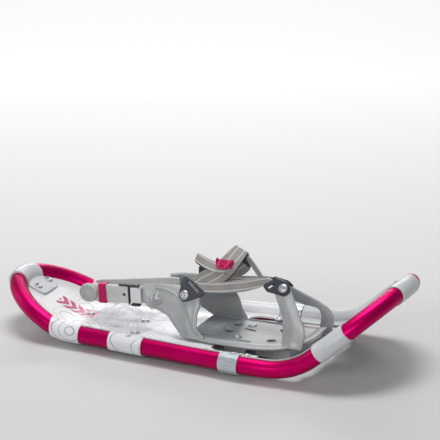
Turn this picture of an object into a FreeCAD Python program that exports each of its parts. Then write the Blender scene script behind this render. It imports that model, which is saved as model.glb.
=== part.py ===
"""Snowshoe with a tapered tube frame, plastic deck, steel crampons and a pivoting strap binding.

Frame of the part: +X towards the toe, +Y to the wearer's left, +Z up, millimetres.
The origin is on the ground, under the middle of the length and on the centre line.
"""
import FreeCAD, Part
import Sketcher

import math
import os

from FreeCAD import Placement, Rotation, Vector

doc = FreeCAD.newDocument("Snowshoe")
sheet = doc.addObject("Spreadsheet::Sheet", "Sizes")

X_AXIS = Vector(1, 0, 0)
Y_AXIS = Vector(0, 1, 0)
Z_AXIS = Vector(0, 0, 1)

SIZES = {
    # frame tube: bent from one straight tube
    "tube_radius": 11.0,
    "tube_wall": 1.3,
    "tube_height": 18.0,
    "mid_half_width": 92.9,
    "taper_angle": 6.9,
    "toe_run_end": 86.0,
    "turn_in_radius": 220.0,
    "turn_in_angle": 9.0,
    "toe_bend_radius": 92.6,
    "toe_angle": 40.9,
    "toe_lead": 8.2,
    "toe_corner_radius": 80.3,
    "toe_corner_turn": 21.6,
    "tail_run_end": 156.9,
    "tail_bend_radius": 72.3,
    "tail_angle": 25.4,
    "tail_lead": 2.0,
    "tail_corner_radius": 90.0,
    "tail_corner_turn": 46.6,
    "tail_gap": 0.6,
    "splice_angle": 26.0,
    "splice_play": 0.02,
    # decks
    "deck_thickness": 2.0,
    "deck_play": 0.15,
    "wrap_thickness": 1.2,
    "deck_front": 27.0,
    "opening_front": 157.0,
    "opening_right": 66.0,
    "opening_left": 76.0,
    "opening_corner": 14.0,
    "scallop_rear": 93.0,
    "scallop_front": 150.0,
    "scallop_out": 84.0,
    "scallop_corner": 8.0,
    "seam_right": 36.0,
    "seam_left": 58.0,
    "seam_gap": 1.0,
    "rear_wrap_start": -181.0,
    "rear_wrap_end": -140.0,
    "middle_wrap_start": -97.0,
    "middle_wrap_end": -50.0,
    "tab_start": 187.0,
    "tab_end": 220.0,
    "lip_height": 20.0,
    "tip_wrap_half": 26.0,
    # tail clip
    "clip_half_width": 20.0,
    "clip_thickness": 2.2,
    "tongue_end": -219.0,
    "tongue_half_width": 23.0,
    "tongue_shift": 5.0,
    "tongue_thickness": 3.0,
    "tail_rivet_x": -232.0,
    "tail_rivet_y": 14.5,
    # pivot
    "pivot_x": 72.0,
    "pivot_z": 11.0,
    "rod_radius": 4.0,
    "rod_half_length": 86.0,
    "rod_play": 0.05,
    "bush_radius": 6.5,
    "bush_half_length": 4.0,
    "clamp_width": 26.0,
    "clamp_thickness": 2.0,
    "clamp_ear_y": 66.0,
    "clamp_ear_bottom": 4.5,
    "clamp_ear_top": 16.4,
    "clamp_rivet_y": 72.0,
    # binding base
    "base_bottom": 20.5,
    "base_thickness": 3.5,
    "base_top": 24.0,
    "base_fillet": 9.0,
    "base_hole_radius": 5.5,
    # toe crampon
    "steel": 2.0,
    "web_rear": 36.0,
    "web_front": 124.0,
    "web_half_width": 38.0,
    # heel crampon
    "heel_apex_x": -166.0,
    "heel_arm_length": 106.0,
    "heel_arm_angle": 27.8,
    "heel_arm_width": 18.0,
    "heel_bar_x": -92.0,
    "heel_bolt_x": -87.0,
    "heel_steel_top": 17.0,
    # binding wings and webbing loops
    "wing_thickness": 3.0,
    "wing_corner": 3.0,
    "instep_foot_y": 47.0,
    "instep_lean": 21.8,
    "toe_foot_y": 38.0,
    "toe_lean": 20.8,
    "loop_thickness": 3.0,
    "loop_play": 0.3,
    "slot_width": 3.6,
    # heel strap, hung on the two heel rivets and drooping a little
    "arm_pivot_x": -56.8,
    "arm_pivot_z": 63.5,
    "strap_droop": 3.5,
    "strap_height": 21.0,
    "strap_thickness": 2.6,
    "strap_half_width": 25.5,
    "strap_bend_x": -139.0,
    "strap_bend_radius": 9.5,
    "strap_play": 0.08,
    "strap_hole_lead": 8.0,
    "layer_gap": 0.3,
    "strap_tail_start": -98.0,
    "grip_x": -151.0,
    "grip_radius": 12.0,
    "grip_thickness": 5.0,
    "keeper_rear": -138.0,
    "keeper_front": -127.0,
    "keeper_wall": 1.6,
    "keeper_inner_room": 3.2,
    "buckle_rear": -110.0,
    "buckle_front": -82.0,
    "buckle_depth": 3.0,
    "buckle_rail": 3.5,
    "cross_bar_front": -95.0,
    "buckle_plate_front": -80.5,
    # rivets
    "rivet_radius": 2.4,
    "rivet_head": 4.4,
    "loop_rivet_head": 6.2,
    "rivet_dome": 1.6,
    "instep_rivet_x": -17.0,
    "instep_rivet_along": 53.0,
    "toe_rivet_x_right": 106.0,
    "toe_rivet_x_left": 101.0,
    "toe_rivet_along": 71.0,
    # webbing and quick-pull buckle
    "webbing_width": 15.0,
    "instep_webbing_width": 23.0,
    "webbing_thickness": 1.8,
    "quick_pull_x": 28.0,
    "quick_pull_y": -15.0,
    "quick_pull_z": 112.0,
    "quick_pull_tilt": 28.0,
    "quick_pull_length": 12.0,
    "quick_pull_plate": 2.4,
    "quick_pull_ear": 1.6,
    "lever_axis_height": 5.6,
    "lever_pin_radius": 1.2,
    "lever_cam_radius": 2.6,
    "lever_length": 13.0,
}

# Corner points of the flat pieces, each a pair of cells on the sheet.
OUTLINES = {
    "base": [(-14, -47), (20, -52), (54, -54), (86, -53), (113, -45), (132, -27), (143, -2), (145, 22),
             (137, 38), (112, 47), (-14, 47)],
    "crampon": [(36, 20.5), (36, 10), (39, 0), (47, 8), (60, 8), (65, 2.5), (79, 2.5), (84, 8), (94, 8),
                (101, 0), (107, 8), (113, 8), (119, 0), (124, 10), (124, 20.5)],
    "claw": [(-38, 18.5), (-38, 9), (-30, 0), (-24, 8), (-14, 8), (-8, 1), (0, 8), (8, 1), (14, 8),
             (24, 8), (30, 0), (38, 9), (38, 18.5)],
    "heel_rail": [(0, 17), (0, 9), (7, 0), (15, 8), (28, 8), (36, 0), (44, 8), (60, 8), (68, 0), (76, 8),
                  (90, 8), (98, 0), (106, 9), (106, 17)],
    "instep_right": [(15, 0), (0, 9), (-1, 28), (1, 43), (6, 57), (-8, 67), (-25, 64), (-49, 58),
                     (-75, 57), (-71, 35.5), (-46, 25), (-36, 20), (-26, 9), (-14, 0)],
    "instep_left": [(31, 0), (26, 18), (28, 42), (20, 58), (-8, 67), (-25, 64), (-46, 58), (-65, 54),
                    (-64, 35.5), (-46, 25), (-36, 20), (-28, 9), (-18, 0)],
    "toe_right": [(131, 0), (137, 14), (137, 26), (130, 40), (122, 54), (116, 67), (113, 78),
                  (98, 78), (94, 64), (103, 48), (109, 33), (110, 0)],
    "toe_left": [(139, 0), (145, 12), (145, 26), (139, 37), (130, 45), (121, 55), (116, 67), (113, 78),
                 (98, 78), (93, 62), (102, 44), (123, 38), (129, 30), (126, 0)],
    "instep_loop": [(-25, 77), (9, 56), (-22, 42)],
    "toe_loop_right": [(78, 72), (94, 84), (118, 72), (113, 63), (86, 66)],
    "toe_loop_left": [(73, 72), (89, 84), (113, 72), (108, 63), (81, 66)],
}

row = 0
for alias, value in SIZES.items():
    row += 1
    sheet.set("A%d" % row, alias.replace("_", " "))
    sheet.set("B%d" % row, str(value))
    sheet.setAlias("B%d" % row, alias)
for outline, corners in OUTLINES.items():
    for number, corner in enumerate(corners, start=1):
        row += 1
        sheet.set("A%d" % row, "%s corner %d" % (outline.replace("_", " "), number))
        for column, axis, value in zip("BC", ("across", "along"), corner):
            sheet.set("%s%d" % (column, row), str(value))
            sheet.setAlias("%s%d" % (column, row), "%s_%s_%d" % (outline, axis, number))
doc.recompute()


def size(alias):
    """Value of a driving dimension, read from the sheet."""
    return float(sheet.get(alias))


def radians(alias):
    return math.radians(size(alias))


nodes = {}


def publish(label, feature):
    """Give a finished sub-part its name and put it on the list to be written."""
    if label in nodes:
        nodes[label].Label = label + "_blank"
    feature.Label = label
    nodes[label] = feature
    return feature


def shape_feature(label, shape):
    """A sub-part whose form has no feature of its own: the tube, sheets and moulded pieces."""
    feature = doc.addObject("Part::Feature", label)
    place = shape.Placement
    feature.Shape = shape
    feature.Placement = place
    return publish(label, feature)


def bind(feature, **expressions):
    for name, expression in expressions.items():
        feature.setExpression(name, expression)
    return feature


def fuse_all(shapes):
    first, rest = shapes[0], shapes[1:]
    return first.fuse(rest).removeSplitter() if rest else first


def mirrored(shape):
    """The same shape on the other side of the centre line."""
    return shape.mirror(Vector(0, 0, 0), Y_AXIS)


# ---------------------------------------------------------------- frame path

class Path:
    """A bent-tube centre line: straight runs and tangent arcs, one after another."""

    def __init__(self, start, heading):
        self.point = Vector(start)
        self.heading = Vector(heading).normalize()
        self.pieces = []

    def run(self, length):
        end = self.point + self.heading * length
        self.pieces.append(("line", self.point, end, None, 0.0))
        self.point = end
        return self

    def bend(self, inward, radius, turn):
        """Turn towards inward, a unit vector square to the heading."""
        centre = self.point + inward * radius
        axis = self.heading.cross(inward)
        spin = Rotation(axis, math.degrees(turn))
        end = centre + spin.multVec(self.point - centre)
        self.pieces.append(("arc", self.point, end, (centre, axis), math.degrees(turn)))
        self.point = end
        self.heading = spin.multVec(self.heading)
        return self

    def tube(self, radius):
        """One solid for each run and bend, so that every face is a cylinder or a torus."""
        solids = []
        for kind, start, end, turn_about, degrees in self.pieces:
            if kind == "line":
                solids.append(Part.makeCylinder(radius, start.distanceToPoint(end), start, end - start))
            else:
                centre, axis = turn_about
                across = (start - centre).cross(axis)
                disc = Part.Face(Part.Wire(Part.makeCircle(radius, start, across)))
                solids.append(disc.revolve(centre, axis, degrees))
        return solids


def half_frame(direction):
    """Left half of the frame from the middle towards the toe (direction 1) or tail (-1)."""
    end = "toe" if direction > 0 else "tail"
    taper = math.tan(radians("taper_angle"))
    start = Vector(0, size("mid_half_width"), size("tube_height"))
    heading = Vector(direction, direction * taper, 0)
    path = Path(start, heading)
    path.run(size(end + "_run_end") * math.hypot(1, taper))
    if end == "toe":
        path.bend(path.heading.cross(Z_AXIS), size("turn_in_radius"), radians("turn_in_angle"))
    path.bend(Z_AXIS, size(end + "_bend_radius"), radians(end + "_angle"))
    path.run(size(end + "_lead"))
    slope = path.heading
    slope_mirror = Vector(slope.x, -slope.y, slope.z)
    normal = slope_mirror.cross(slope).normalize()
    inward = slope.cross(normal).normalize()
    if inward.y > 0:
        inward = inward * -1
    path.bend(inward, size(end + "_corner_radius"), radians(end + "_corner_turn"))
    left = math.acos(max(-1.0, min(1.0, -path.heading.y)))
    spin = path.heading.cross(Vector(0, -1, 0))
    inward = spin.cross(path.heading).normalize()
    path.bend(inward, path.point.y / math.sin(left), left)
    return path


def half_width(x):
    return size("mid_half_width") + x * math.tan(radians("taper_angle"))


toe_path = half_frame(1)
tail_path = half_frame(-1)


loops = {}


def tube_loop(radius):
    """The whole bent loop as one solid of the given radius, made once for each radius."""
    if radius not in loops:
        left = toe_path.tube(radius) + tail_path.tube(radius)
        loops[radius] = fuse_all(left + [mirrored(piece) for piece in left])
    return loops[radius].copy()


def sleeve(inner, outer):
    return tube_loop(outer).cut(tube_loop(inner))


def build_frame_tube():
    """A hollow tube whose two ends meet at the middle of the tail."""
    tube = sleeve(size("tube_radius") - size("tube_wall"), size("tube_radius"))
    gap = size("tail_gap")
    joint = Part.makeBox(60, gap, 60, Vector(tail_path.point.x - 30, -gap / 2, tail_path.point.z - 30))
    return shape_feature("frame_tube", tube.cut(joint))


def build_frame_splice():
    """Round plug inside the tail, pressed into both ends of the tube."""
    kind, start, end, turn_about, degrees = tail_path.pieces[-1]
    centre, axis = turn_about
    radius = size("tube_radius") - size("tube_wall") - size("splice_play")
    disc = Part.Face(Part.Wire(Part.makeCircle(radius, end, Y_AXIS)))
    half = disc.revolve(centre, axis, -size("splice_angle") / 2)
    return shape_feature("frame_splice", half.fuse(mirrored(half)).removeSplitter())


# ---------------------------------------------------------------- decks

def clip_box(low, high):
    """A box between two corners, for keeping or cutting away a region."""
    low, high = Vector(*low), Vector(*high)
    return Part.makeBox(high.x - low.x, high.y - low.y, high.z - low.z, low)


def path_points(path, step=14.0):
    """Points along the centre line, closer together where it bends."""
    points = [path.pieces[0][1]]
    for kind, start, end, turn_about, degrees in path.pieces:
        if kind == "arc":
            centre, axis = turn_about
            steps = max(1, int(degrees / step))
            for number in range(1, steps):
                turn = Rotation(axis, degrees * number / steps)
                points.append(centre + turn.multVec(start - centre))
        points.append(end)
    return points


def inside_prism():
    """Upright prism through the tube's centre line, seen from above."""
    left = list(reversed(path_points(tail_path))) + path_points(toe_path)[1:]
    right = [Vector(point.x, -point.y, 0) for point in reversed(left[1:-1])]
    corners = [Vector(point.x, point.y, 0) for point in left] + right
    face = Part.Face(Part.makePolygon(corners + corners[:1]))
    return face.extrude(Z_AXIS * 200)


def deck_sheet(low, high):
    """The deck's bent sheet before it is trimmed, between two offsets from the tube's middle height.

    It is level, and turned up at toe and tail.
    """
    height = size("tube_height")
    reach = 2 * size("mid_half_width")
    tail_x = -size("tail_run_end")
    toe_x = toe_path.pieces[1][2].x
    pieces = [clip_box((tail_x, -reach, height + low), (toe_x, reach, height + high))]
    for direction, end, x in ((1, "toe", toe_x), (-1, "tail", tail_x)):
        corners = [Vector(x, side * reach, height + offset)
                   for side, offset in ((-1, low), (1, low), (1, high), (-1, high))]
        section = Part.Face(Part.makePolygon(corners + corners[:1]))
        centre = Vector(x, 0, height + size(end + "_bend_radius"))
        turn = -direction * size(end + "_angle")
        pieces.append(section.revolve(centre, Y_AXIS, turn))
        section.rotate(centre, Y_AXIS, turn)
        slope = Rotation(Y_AXIS, turn).multVec(Vector(direction, 0, 0))
        pieces.append(section.extrude(slope * reach))
    return fuse_all(pieces)


def rounded_box(low, high, radius):
    box = clip_box(low, high)
    upright = [edge for edge in box.Edges if abs(edge.tangentAt(edge.FirstParameter).z) > 0.99]
    return box.makeFillet(radius, upright)


FAR = 400.0
tube_outer = size("tube_radius") + size("deck_play")
wrap_outer = tube_outer + size("wrap_thickness")
clamp_outer = size("tube_radius") + size("clamp_thickness")
clip_outer = size("tube_radius") + size("clip_thickness")
clear_of_tube = tube_loop(tube_outer)
wrap_sleeve = tube_loop(wrap_outer).cut(clear_of_tube)
inside = inside_prism()
half_deck = size("deck_thickness") / 2
deck_plate = deck_sheet(-half_deck, half_deck).common(inside).cut(clear_of_tube)


def across(x_start, x_end, y_start=-FAR, y_end=FAR):
    return clip_box((x_start, y_start, -FAR), (x_end, y_end, FAR))


toe_opening = rounded_box((size("deck_front"), -size("opening_right"), -FAR),
                          (size("opening_front"), size("opening_left"), FAR), size("opening_corner"))
scallop = rounded_box((size("scallop_rear"), -size("scallop_out"), -FAR),
                      (size("scallop_front"), -size("opening_right") + 10, FAR), size("scallop_corner"))
clamp_zone = [across(size("pivot_x") - size("clamp_width") / 2 - 1,
                     size("pivot_x") + size("clamp_width") / 2 + 1)
              .common(tube_loop(clamp_outer + size("deck_play")))]
lip_room = deck_sheet(0, size("lip_height")).common(across(-size("tail_run_end"), size("tab_start") + 5))
edge_lips = wrap_sleeve.common(inside).common(lip_room)


def slope_zone(start, end):
    """Region between two planes square to the toe slope, at two places along the part on the deck."""
    angle = radians("toe_angle")
    radius = size("toe_bend_radius")
    slope_x = toe_path.pieces[2][2].x
    rise = radius * (1 - math.cos(angle)) + (start - slope_x) * math.tan(angle)
    zone = clip_box((0, -FAR, -FAR), ((end - start) / math.cos(angle), FAR, FAR))
    corner = Vector(start, 0, size("tube_height") + rise)
    zone.Placement = Placement(corner, Rotation(Y_AXIS, -size("toe_angle")))
    return zone


def build_main_deck():
    """White deck from the tail to beside the binding, wrapped round the tube at four places."""
    seams = [across(-FAR, size("seam_right"), -FAR, 0), across(-FAR, size("seam_left"), 0, FAR)]
    region = fuse_all(seams)
    wraps = [wrap_sleeve.common(across(size(name + "_start"), size(name + "_end")))
             for name in ("rear_wrap", "middle_wrap")]
    clip_room = tube_loop(clip_outer + size("deck_play")).common(
        across(-FAR, size("tongue_end"), -size("clip_half_width") - 1, size("clip_half_width") + 1))
    body = fuse_all([deck_plate.common(region).cut(toe_opening), edge_lips.common(region)] + wraps)
    return shape_feature("main_deck", body.cut(clip_room))


def build_front_deck():
    """Grey U-shaped deck round the toe opening, with a tab on each side and a wrap at the tip."""
    gap = size("seam_gap")
    region = fuse_all([across(size("seam_right") + gap, FAR, -FAR, 0),
                       across(size("seam_left") + gap, FAR, 0, FAR)])
    tabs = wrap_sleeve.common(slope_zone(size("tab_start"), size("tab_end")))
    half = size("tip_wrap_half")
    tip = wrap_sleeve.common(across(size("tab_end"), FAR, -half, half))
    body = fuse_all([deck_plate.common(region).cut([toe_opening, scallop]),
                     edge_lips.common(region), tabs, tip])
    return shape_feature("front_deck", body.cut(clamp_zone))


def deck_level(x):
    """Height of the deck's upper face on the level part and on the tail slope."""
    top = size("tube_height") + size("deck_thickness") / 2
    bend = size("tail_bend_radius")
    angle = radians("tail_angle")
    slope_start = -size("tail_run_end") - bend * math.sin(angle)
    if x > -size("tail_run_end"):
        return top
    if x > slope_start:
        return top + bend - math.sqrt(bend ** 2 - (x + size("tail_run_end")) ** 2)
    return top + bend * (1 - math.cos(angle)) + (slope_start - x) * math.tan(angle)


def build_tail_clip():
    """Moulded clip: a sleeve round the tail of the tube, and a tongue riveted to the deck."""
    half = size("clip_half_width")
    angle = radians("tail_angle")
    end_x = size("tongue_end")
    grip = sleeve(size("tube_radius") + 0.05, clip_outer).common(across(-FAR, end_x, -half, half))
    neck_x = tail_path.point.x + size("tube_radius") * math.cos(angle)
    wide, shift = size("tongue_half_width"), size("tongue_shift")
    outline = [(neck_x, -half), (neck_x + 8, -half), (end_x, shift - wide),
               (end_x, shift + wide), (neck_x + 8, half), (neck_x, half)]
    corners = [Vector(x, y, deck_level(x) + 0.1) for x, y in outline]
    face = Part.Face(Part.makePolygon(corners + corners[:1]))
    normal = Vector(math.sin(angle), 0, math.cos(angle))
    tongue = face.extrude(normal * size("tongue_thickness"))
    ends = [edge for edge in tongue.Edges
            if abs(edge.tangentAt(edge.FirstParameter).dot(normal)) > 0.99
            and edge.CenterOfMass.x > end_x - 2]
    tongue = tongue.makeFillet(7.0, ends)
    body = fuse_all([grip, tongue]).cut([tube_loop(size("tube_radius") + 0.05), nodes["main_deck"].Shape])
    return shape_feature("tail_clip", body)


def build_clamp(label, side):
    """Band round the tube with an ear under the deck that carries the pivot rod."""
    x_start = size("pivot_x") - size("clamp_width") / 2
    x_end = x_start + size("clamp_width")
    band = sleeve(size("tube_radius"), clamp_outer).common(across(x_start, x_end, 0, FAR))
    ear_out = half_width(size("pivot_x"))
    ear = clip_box((x_start, size("clamp_ear_y"), size("clamp_ear_bottom")),
                   (x_end, ear_out, size("clamp_ear_top"))).cut(tube_loop(size("tube_radius")))
    body = fuse_all([band, ear])
    bore = Part.makeCylinder(size("rod_radius"), size("rod_half_length"),
                             Vector(size("pivot_x"), 0, size("pivot_z")), Y_AXIS)
    body = body.cut(bore)
    return shape_feature(label, body if side > 0 else mirrored(body))


build_frame_tube()
build_frame_splice()
build_main_deck()
build_front_deck()
build_tail_clip()
build_clamp("pivot_clamp_left", 1)
build_clamp("pivot_clamp_right", -1)


# ---------------------------------------------------------------- features built from sketches

def origin_plane(body, role):
    return [plane for plane in body.Origin.OriginFeatures if plane.Role == role][0]


def outline_body(label, outline, role, thickness, fillet, placement=None):
    """Pad of an outline from the sheet, with its upright corners rounded."""
    body = doc.addObject("PartDesign::Body", label + "_body")
    sketch = body.newObject("Sketcher::SketchObject", label + "_sketch")
    sketch.AttachmentSupport = [(origin_plane(body, role), "")]
    sketch.MapMode = "FlatFace"
    corners = [Vector(*corner, 0) for corner in OUTLINES[outline]]
    count = len(corners)
    for number in range(count):
        sketch.addGeometry(Part.LineSegment(corners[number], corners[(number + 1) % count]))
    for number in range(count):
        sketch.addConstraint(Sketcher.Constraint("Coincident", number, 2, (number + 1) % count, 1))
    for number, corner in enumerate(corners):
        for kind, axis, value in (("DistanceX", "across", corner.x), ("DistanceY", "along", corner.y)):
            index = sketch.addConstraint(Sketcher.Constraint(kind, -1, 1, number, 1, value))
            cell = "Sizes.%s_%s_%d" % (outline, axis, number + 1)
            sketch.setExpression("Constraints[%d]" % index, cell)
    pad = body.newObject("PartDesign::Pad", label + "_pad")
    pad.Profile = sketch
    pad.setExpression("Length", "Sizes." + thickness)
    doc.recompute()
    if fillet:
        normal = sketch.getGlobalPlacement().Rotation.multVec(Z_AXIS)
        names = ["Edge%d" % number for number, edge in enumerate(pad.Shape.Edges, start=1)
                 if abs(edge.tangentAt(edge.FirstParameter).dot(normal)) > 0.99]
        rounding = body.newObject("PartDesign::Fillet", label + "_rounding")
        rounding.Base = (pad, names)
        rounding.setExpression("Radius", "Sizes." + fillet)
    if placement:
        body.Placement = placement
    doc.recompute()
    return body


def cylinder(name, radius, height, base, direction=Z_AXIS):
    """Part cylinder whose radius and height are expressions on the sheet."""
    feature = doc.addObject("Part::Cylinder", name)
    bind(feature, Radius=radius, Height=height)
    feature.Placement = Placement(base, Rotation(Z_AXIS, direction))
    return feature


def rivet(name, head_at, direction, grip, head="Sizes.rivet_head"):
    """Domed head on a shank: the head sits on the surface, the shank runs grip deep below it."""
    foot = head_at - direction * grip
    shank = cylinder(name + "_shank", "Sizes.rivet_radius", "%g mm" % grip, foot, direction)
    dome = doc.addObject("Part::Cone", name + "_head")
    bind(dome, Radius1=head, Radius2=head + " * 0.55", Height="Sizes.rivet_dome")
    dome.Placement = Placement(head_at, Rotation(Z_AXIS, direction))
    whole = doc.addObject("Part::Fuse", name)
    whole.Base = dome
    whole.Tool = shank
    return whole


def rivet_group(label, places, head="Sizes.rivet_head"):
    """Identical rivets in one node, as separate solids. places: head point, direction, grip."""
    group = doc.addObject("Part::Compound", label + "_group")
    group.Links = [rivet("%s_%d" % (label, number), *place, head=head)
                   for number, place in enumerate(places, start=1)]
    doc.recompute()
    return publish(label, group)


def drill(label, group):
    """Cut the rivets' own holes in a piece that they pass through."""
    cut = doc.addObject("Part::Cut", label + "_drilled")
    cut.Base = nodes[label]
    cut.Tool = nodes[group]
    doc.recompute()
    return publish(label, cut)


# ---------------------------------------------------------------- pivot, base and crampons

def build_base():
    """Foot plate of the binding, with drain holes."""
    plate = outline_body("binding_base", "base", "XY_Plane", "base_thickness", "base_fillet",
                         Placement(Vector(0, 0, size("base_bottom")), Rotation()))
    holes = [cylinder("base_hole_%d" % number, "Sizes.base_hole_radius", "20 mm", Vector(x, y, 14))
             for number, (x, y) in enumerate(((30, 22), (30, -5), (92, -20), (92, 22)), start=1)]
    tool = doc.addObject("Part::MultiFuse", "base_holes")
    tool.Shapes = holes
    cut = doc.addObject("Part::Cut", "base_plate")
    cut.Base = plate
    cut.Tool = tool
    return publish("binding_base", cut)


def build_toe_crampon():
    """Steel channel under the base: two toothed sides, a web and a toothed claw in front."""
    half = size("web_half_width")
    web = doc.addObject("Part::Box", "crampon_web")
    bind(web, Length="Sizes.web_front - Sizes.web_rear", Width="2 * Sizes.web_half_width",
         Height="Sizes.steel")
    web.Placement = Placement(Vector(size("web_rear"), -half, size("base_bottom") - size("steel")),
                              Rotation())
    left = outline_body("crampon_side", "crampon", "XZ_Plane", "steel", None,
                        Placement(Vector(0, half, 0), Rotation()))
    right = outline_body("crampon_other_side", "crampon", "XZ_Plane", "steel", None,
                         Placement(Vector(0, size("steel") - half, 0), Rotation()))
    claw = outline_body("crampon_claw", "claw", "YZ_Plane", "steel", None,
                        Placement(Vector(size("web_front") - size("steel"), 0, 0), Rotation()))
    whole = doc.addObject("Part::MultiFuse", "crampon_whole")
    whole.Shapes = [web, left, right, claw]
    bore = cylinder("crampon_bore", "Sizes.bush_radius", "4 * Sizes.web_half_width",
                    Vector(size("pivot_x"), -2 * half, size("pivot_z")), Y_AXIS)
    cut = doc.addObject("Part::Cut", "crampon_bored")
    cut.Base = whole
    cut.Tool = bore
    return publish("toe_crampon", cut)


def build_pivot():
    """Steel rod between the clamps, and a bush round it in each side of the crampon."""
    rod = cylinder("rod", "Sizes.rod_radius", "2 * Sizes.rod_half_length",
                   Vector(size("pivot_x"), -size("rod_half_length"), size("pivot_z")), Y_AXIS)
    publish("pivot_rod", rod)
    for label, side in (("pivot_bush_left", 1), ("pivot_bush_right", -1)):
        middle = side * (size("web_half_width") - size("steel") / 2)
        base = Vector(size("pivot_x"), middle - size("bush_half_length"), size("pivot_z"))
        outer = cylinder(label + "_outer", "Sizes.bush_radius", "2 * Sizes.bush_half_length", base, Y_AXIS)
        bore = cylinder(label + "_bore", "Sizes.rod_radius + Sizes.rod_play",
                        "2 * Sizes.bush_half_length", base, Y_AXIS)
        bush = doc.addObject("Part::Cut", label + "_ring")
        bush.Base = outer
        bush.Tool = bore
        publish(label, bush)


def build_heel_crampon():
    """Steel crampon under the deck: two toothed arms in a V, joined by a cross bar."""
    apex = Vector(size("heel_apex_x"), 0, 0)
    thickness = size("steel")
    top = size("heel_steel_top")
    width = size("heel_arm_width")
    length = size("heel_arm_length")
    arms = []
    for side in (1, -1):
        turn = Rotation(Z_AXIS, side * size("heel_arm_angle"))
        plate = doc.addObject("Part::Box", "heel_plate")
        bind(plate, Length="Sizes.heel_arm_length", Width="Sizes.heel_arm_width", Height="Sizes.steel")
        plate.Placement = Placement(apex + turn.multVec(Vector(0, -width / 2, top - thickness)), turn)
        edge = side * width / 2 + (thickness if side < 0 else 0)
        rail = outline_body("heel_rail", "heel_rail", "XZ_Plane", "steel", None,
                            Placement(apex + turn.multVec(Vector(0, edge, 0)), turn))
        arms += [plate, rail]
    spread = (size("heel_bar_x") - apex.x) * math.tan(radians("heel_arm_angle"))
    bar = doc.addObject("Part::Box", "heel_bar")
    bind(bar, Length="Sizes.heel_arm_width", Height="Sizes.steel")
    bar.Width = 2 * spread
    bar.Placement = Placement(Vector(size("heel_bar_x"), -spread, top - thickness), Rotation())
    whole = doc.addObject("Part::MultiFuse", "heel_crampon_whole")
    whole.Shapes = arms + [bar]
    return publish("heel_crampon", whole)


build_base()
build_toe_crampon()
build_pivot()
build_heel_crampon()


# ---------------------------------------------------------------- binding wings and webbing loops

def leaning(side, foot, lean, outward=0.0):
    """Placement of an upright plate whose foot is on the base and whose top leans inwards."""
    turn = Rotation(X_AXIS, side * lean)
    out = turn.multVec(Vector(0, side * outward, 0))
    return Placement(Vector(0, side * foot, size("base_top")) + out, turn)


def leaning_plate(label, outline, side, foot, lean, thickness, outward=0.0):
    plate = outline_body(label, outline, "XZ_Plane", thickness, "wing_corner")
    if side > 0:
        outward += size(thickness)
    plate.Placement = leaning(side, foot, lean, outward)
    return plate


def build_wing(label, outline, side, foot, lean):
    """Moulded side wing that stands on the base."""
    return publish(label, leaning_plate(label, outline, side, foot, lean, "wing_thickness"))


def build_loop(label, outline, side, foot, lean, slot):
    """Glass-filled loop riveted to a wing, with a slot for the webbing."""
    outward = size("wing_thickness") + size("loop_play")
    plate = leaning_plate(label, outline, side, foot, lean, "loop_thickness", outward)
    (x1, s1), (x2, s2) = slot
    place = leaning(side, foot, lean)
    start, end = (place.multVec(Vector(x, side * 2, s)) for x, s in ((x1, s1), (x2, s2)))
    along = (end - start).normalize()
    out = place.Rotation.multVec(Vector(0, side, 0))
    tool = doc.addObject("Part::Box", label + "_slot")
    tool.Length = start.distanceToPoint(end)
    tool.Width = size("slot_width")
    tool.Height = 8
    tool.Placement = Placement(start, Rotation(along, out.cross(along), out, "XZY"))
    cut = doc.addObject("Part::Cut", label + "_slotted")
    cut.Base = plate
    cut.Tool = tool
    doc.recompute()
    return publish(label, cut)


SIDES = (("left", 1), ("right", -1))
toe_slots = {"left": ((79, 69), (89, 77)), "right": ((84, 69), (94, 77))}
for name, side in SIDES:
    instep = (size("instep_foot_y"), size("instep_lean"))
    toe = (size("toe_foot_y"), size("toe_lean"))
    build_wing("instep_wing_" + name, "instep_" + name, side, *instep)
    build_wing("toe_wing_" + name, "toe_" + name, side, *toe)
    build_loop("instep_loop_" + name, "instep_loop", side, *instep, ((-15, 69), (1, 56)))
    build_loop("toe_loop_" + name, "toe_loop_" + name, side, *toe, toe_slots[name])


# ---------------------------------------------------------------- heel strap

droop = Placement(Vector(), Rotation(Y_AXIS, -size("strap_droop")),
                  Vector(size("arm_pivot_x"), 0, size("arm_pivot_z")))
strap_low = size("arm_pivot_z") - size("strap_height") / 2
strap_high = strap_low + size("strap_height")


def drooped(label, shape):
    """A piece of the heel strap, turned down a little about the heel rivets."""
    shape.Placement = droop.multiply(shape.Placement)
    return shape_feature(label, shape)


def strap_band():
    """The strap as it lies empty: a straight right leg, a tight bend, and a left leg that opens out."""
    start_x = size("arm_pivot_x") + size("strap_hole_lead")
    y = size("strap_half_width") - size("strap_thickness") / 2
    radius = size("strap_bend_radius")
    centre = Vector(size("strap_bend_x"), radius - y, strap_low)
    right = Part.makeLine(Vector(start_x, -y, strap_low), centre - Vector(0, radius, 0))
    bend = Part.Arc(right.Vertexes[1].Point, centre - Vector(radius, 0, 0), centre + Vector(0, radius, 0))
    opening = Part.BSplineCurve()
    opening.interpolate([bend.EndPoint, Vector(-105, 6, strap_low), Vector(-70, 20.5, strap_low),
                         Vector(start_x, y, strap_low)],
                        InitialTangent=X_AXIS, FinalTangent=X_AXIS)
    line = Part.Wire([right, bend.toShape(), opening.toShape()])
    half_thick = Vector(0, size("strap_thickness") / 2, 0)
    tall = Vector(0, 0, size("strap_height"))
    first = Vector(start_x, -y, strap_low)
    corners = [first - half_thick, first + half_thick, first + half_thick + tall, first - half_thick + tall]
    return line.makePipeShell([Part.makePolygon(corners + corners[:1])], True, False)


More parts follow.
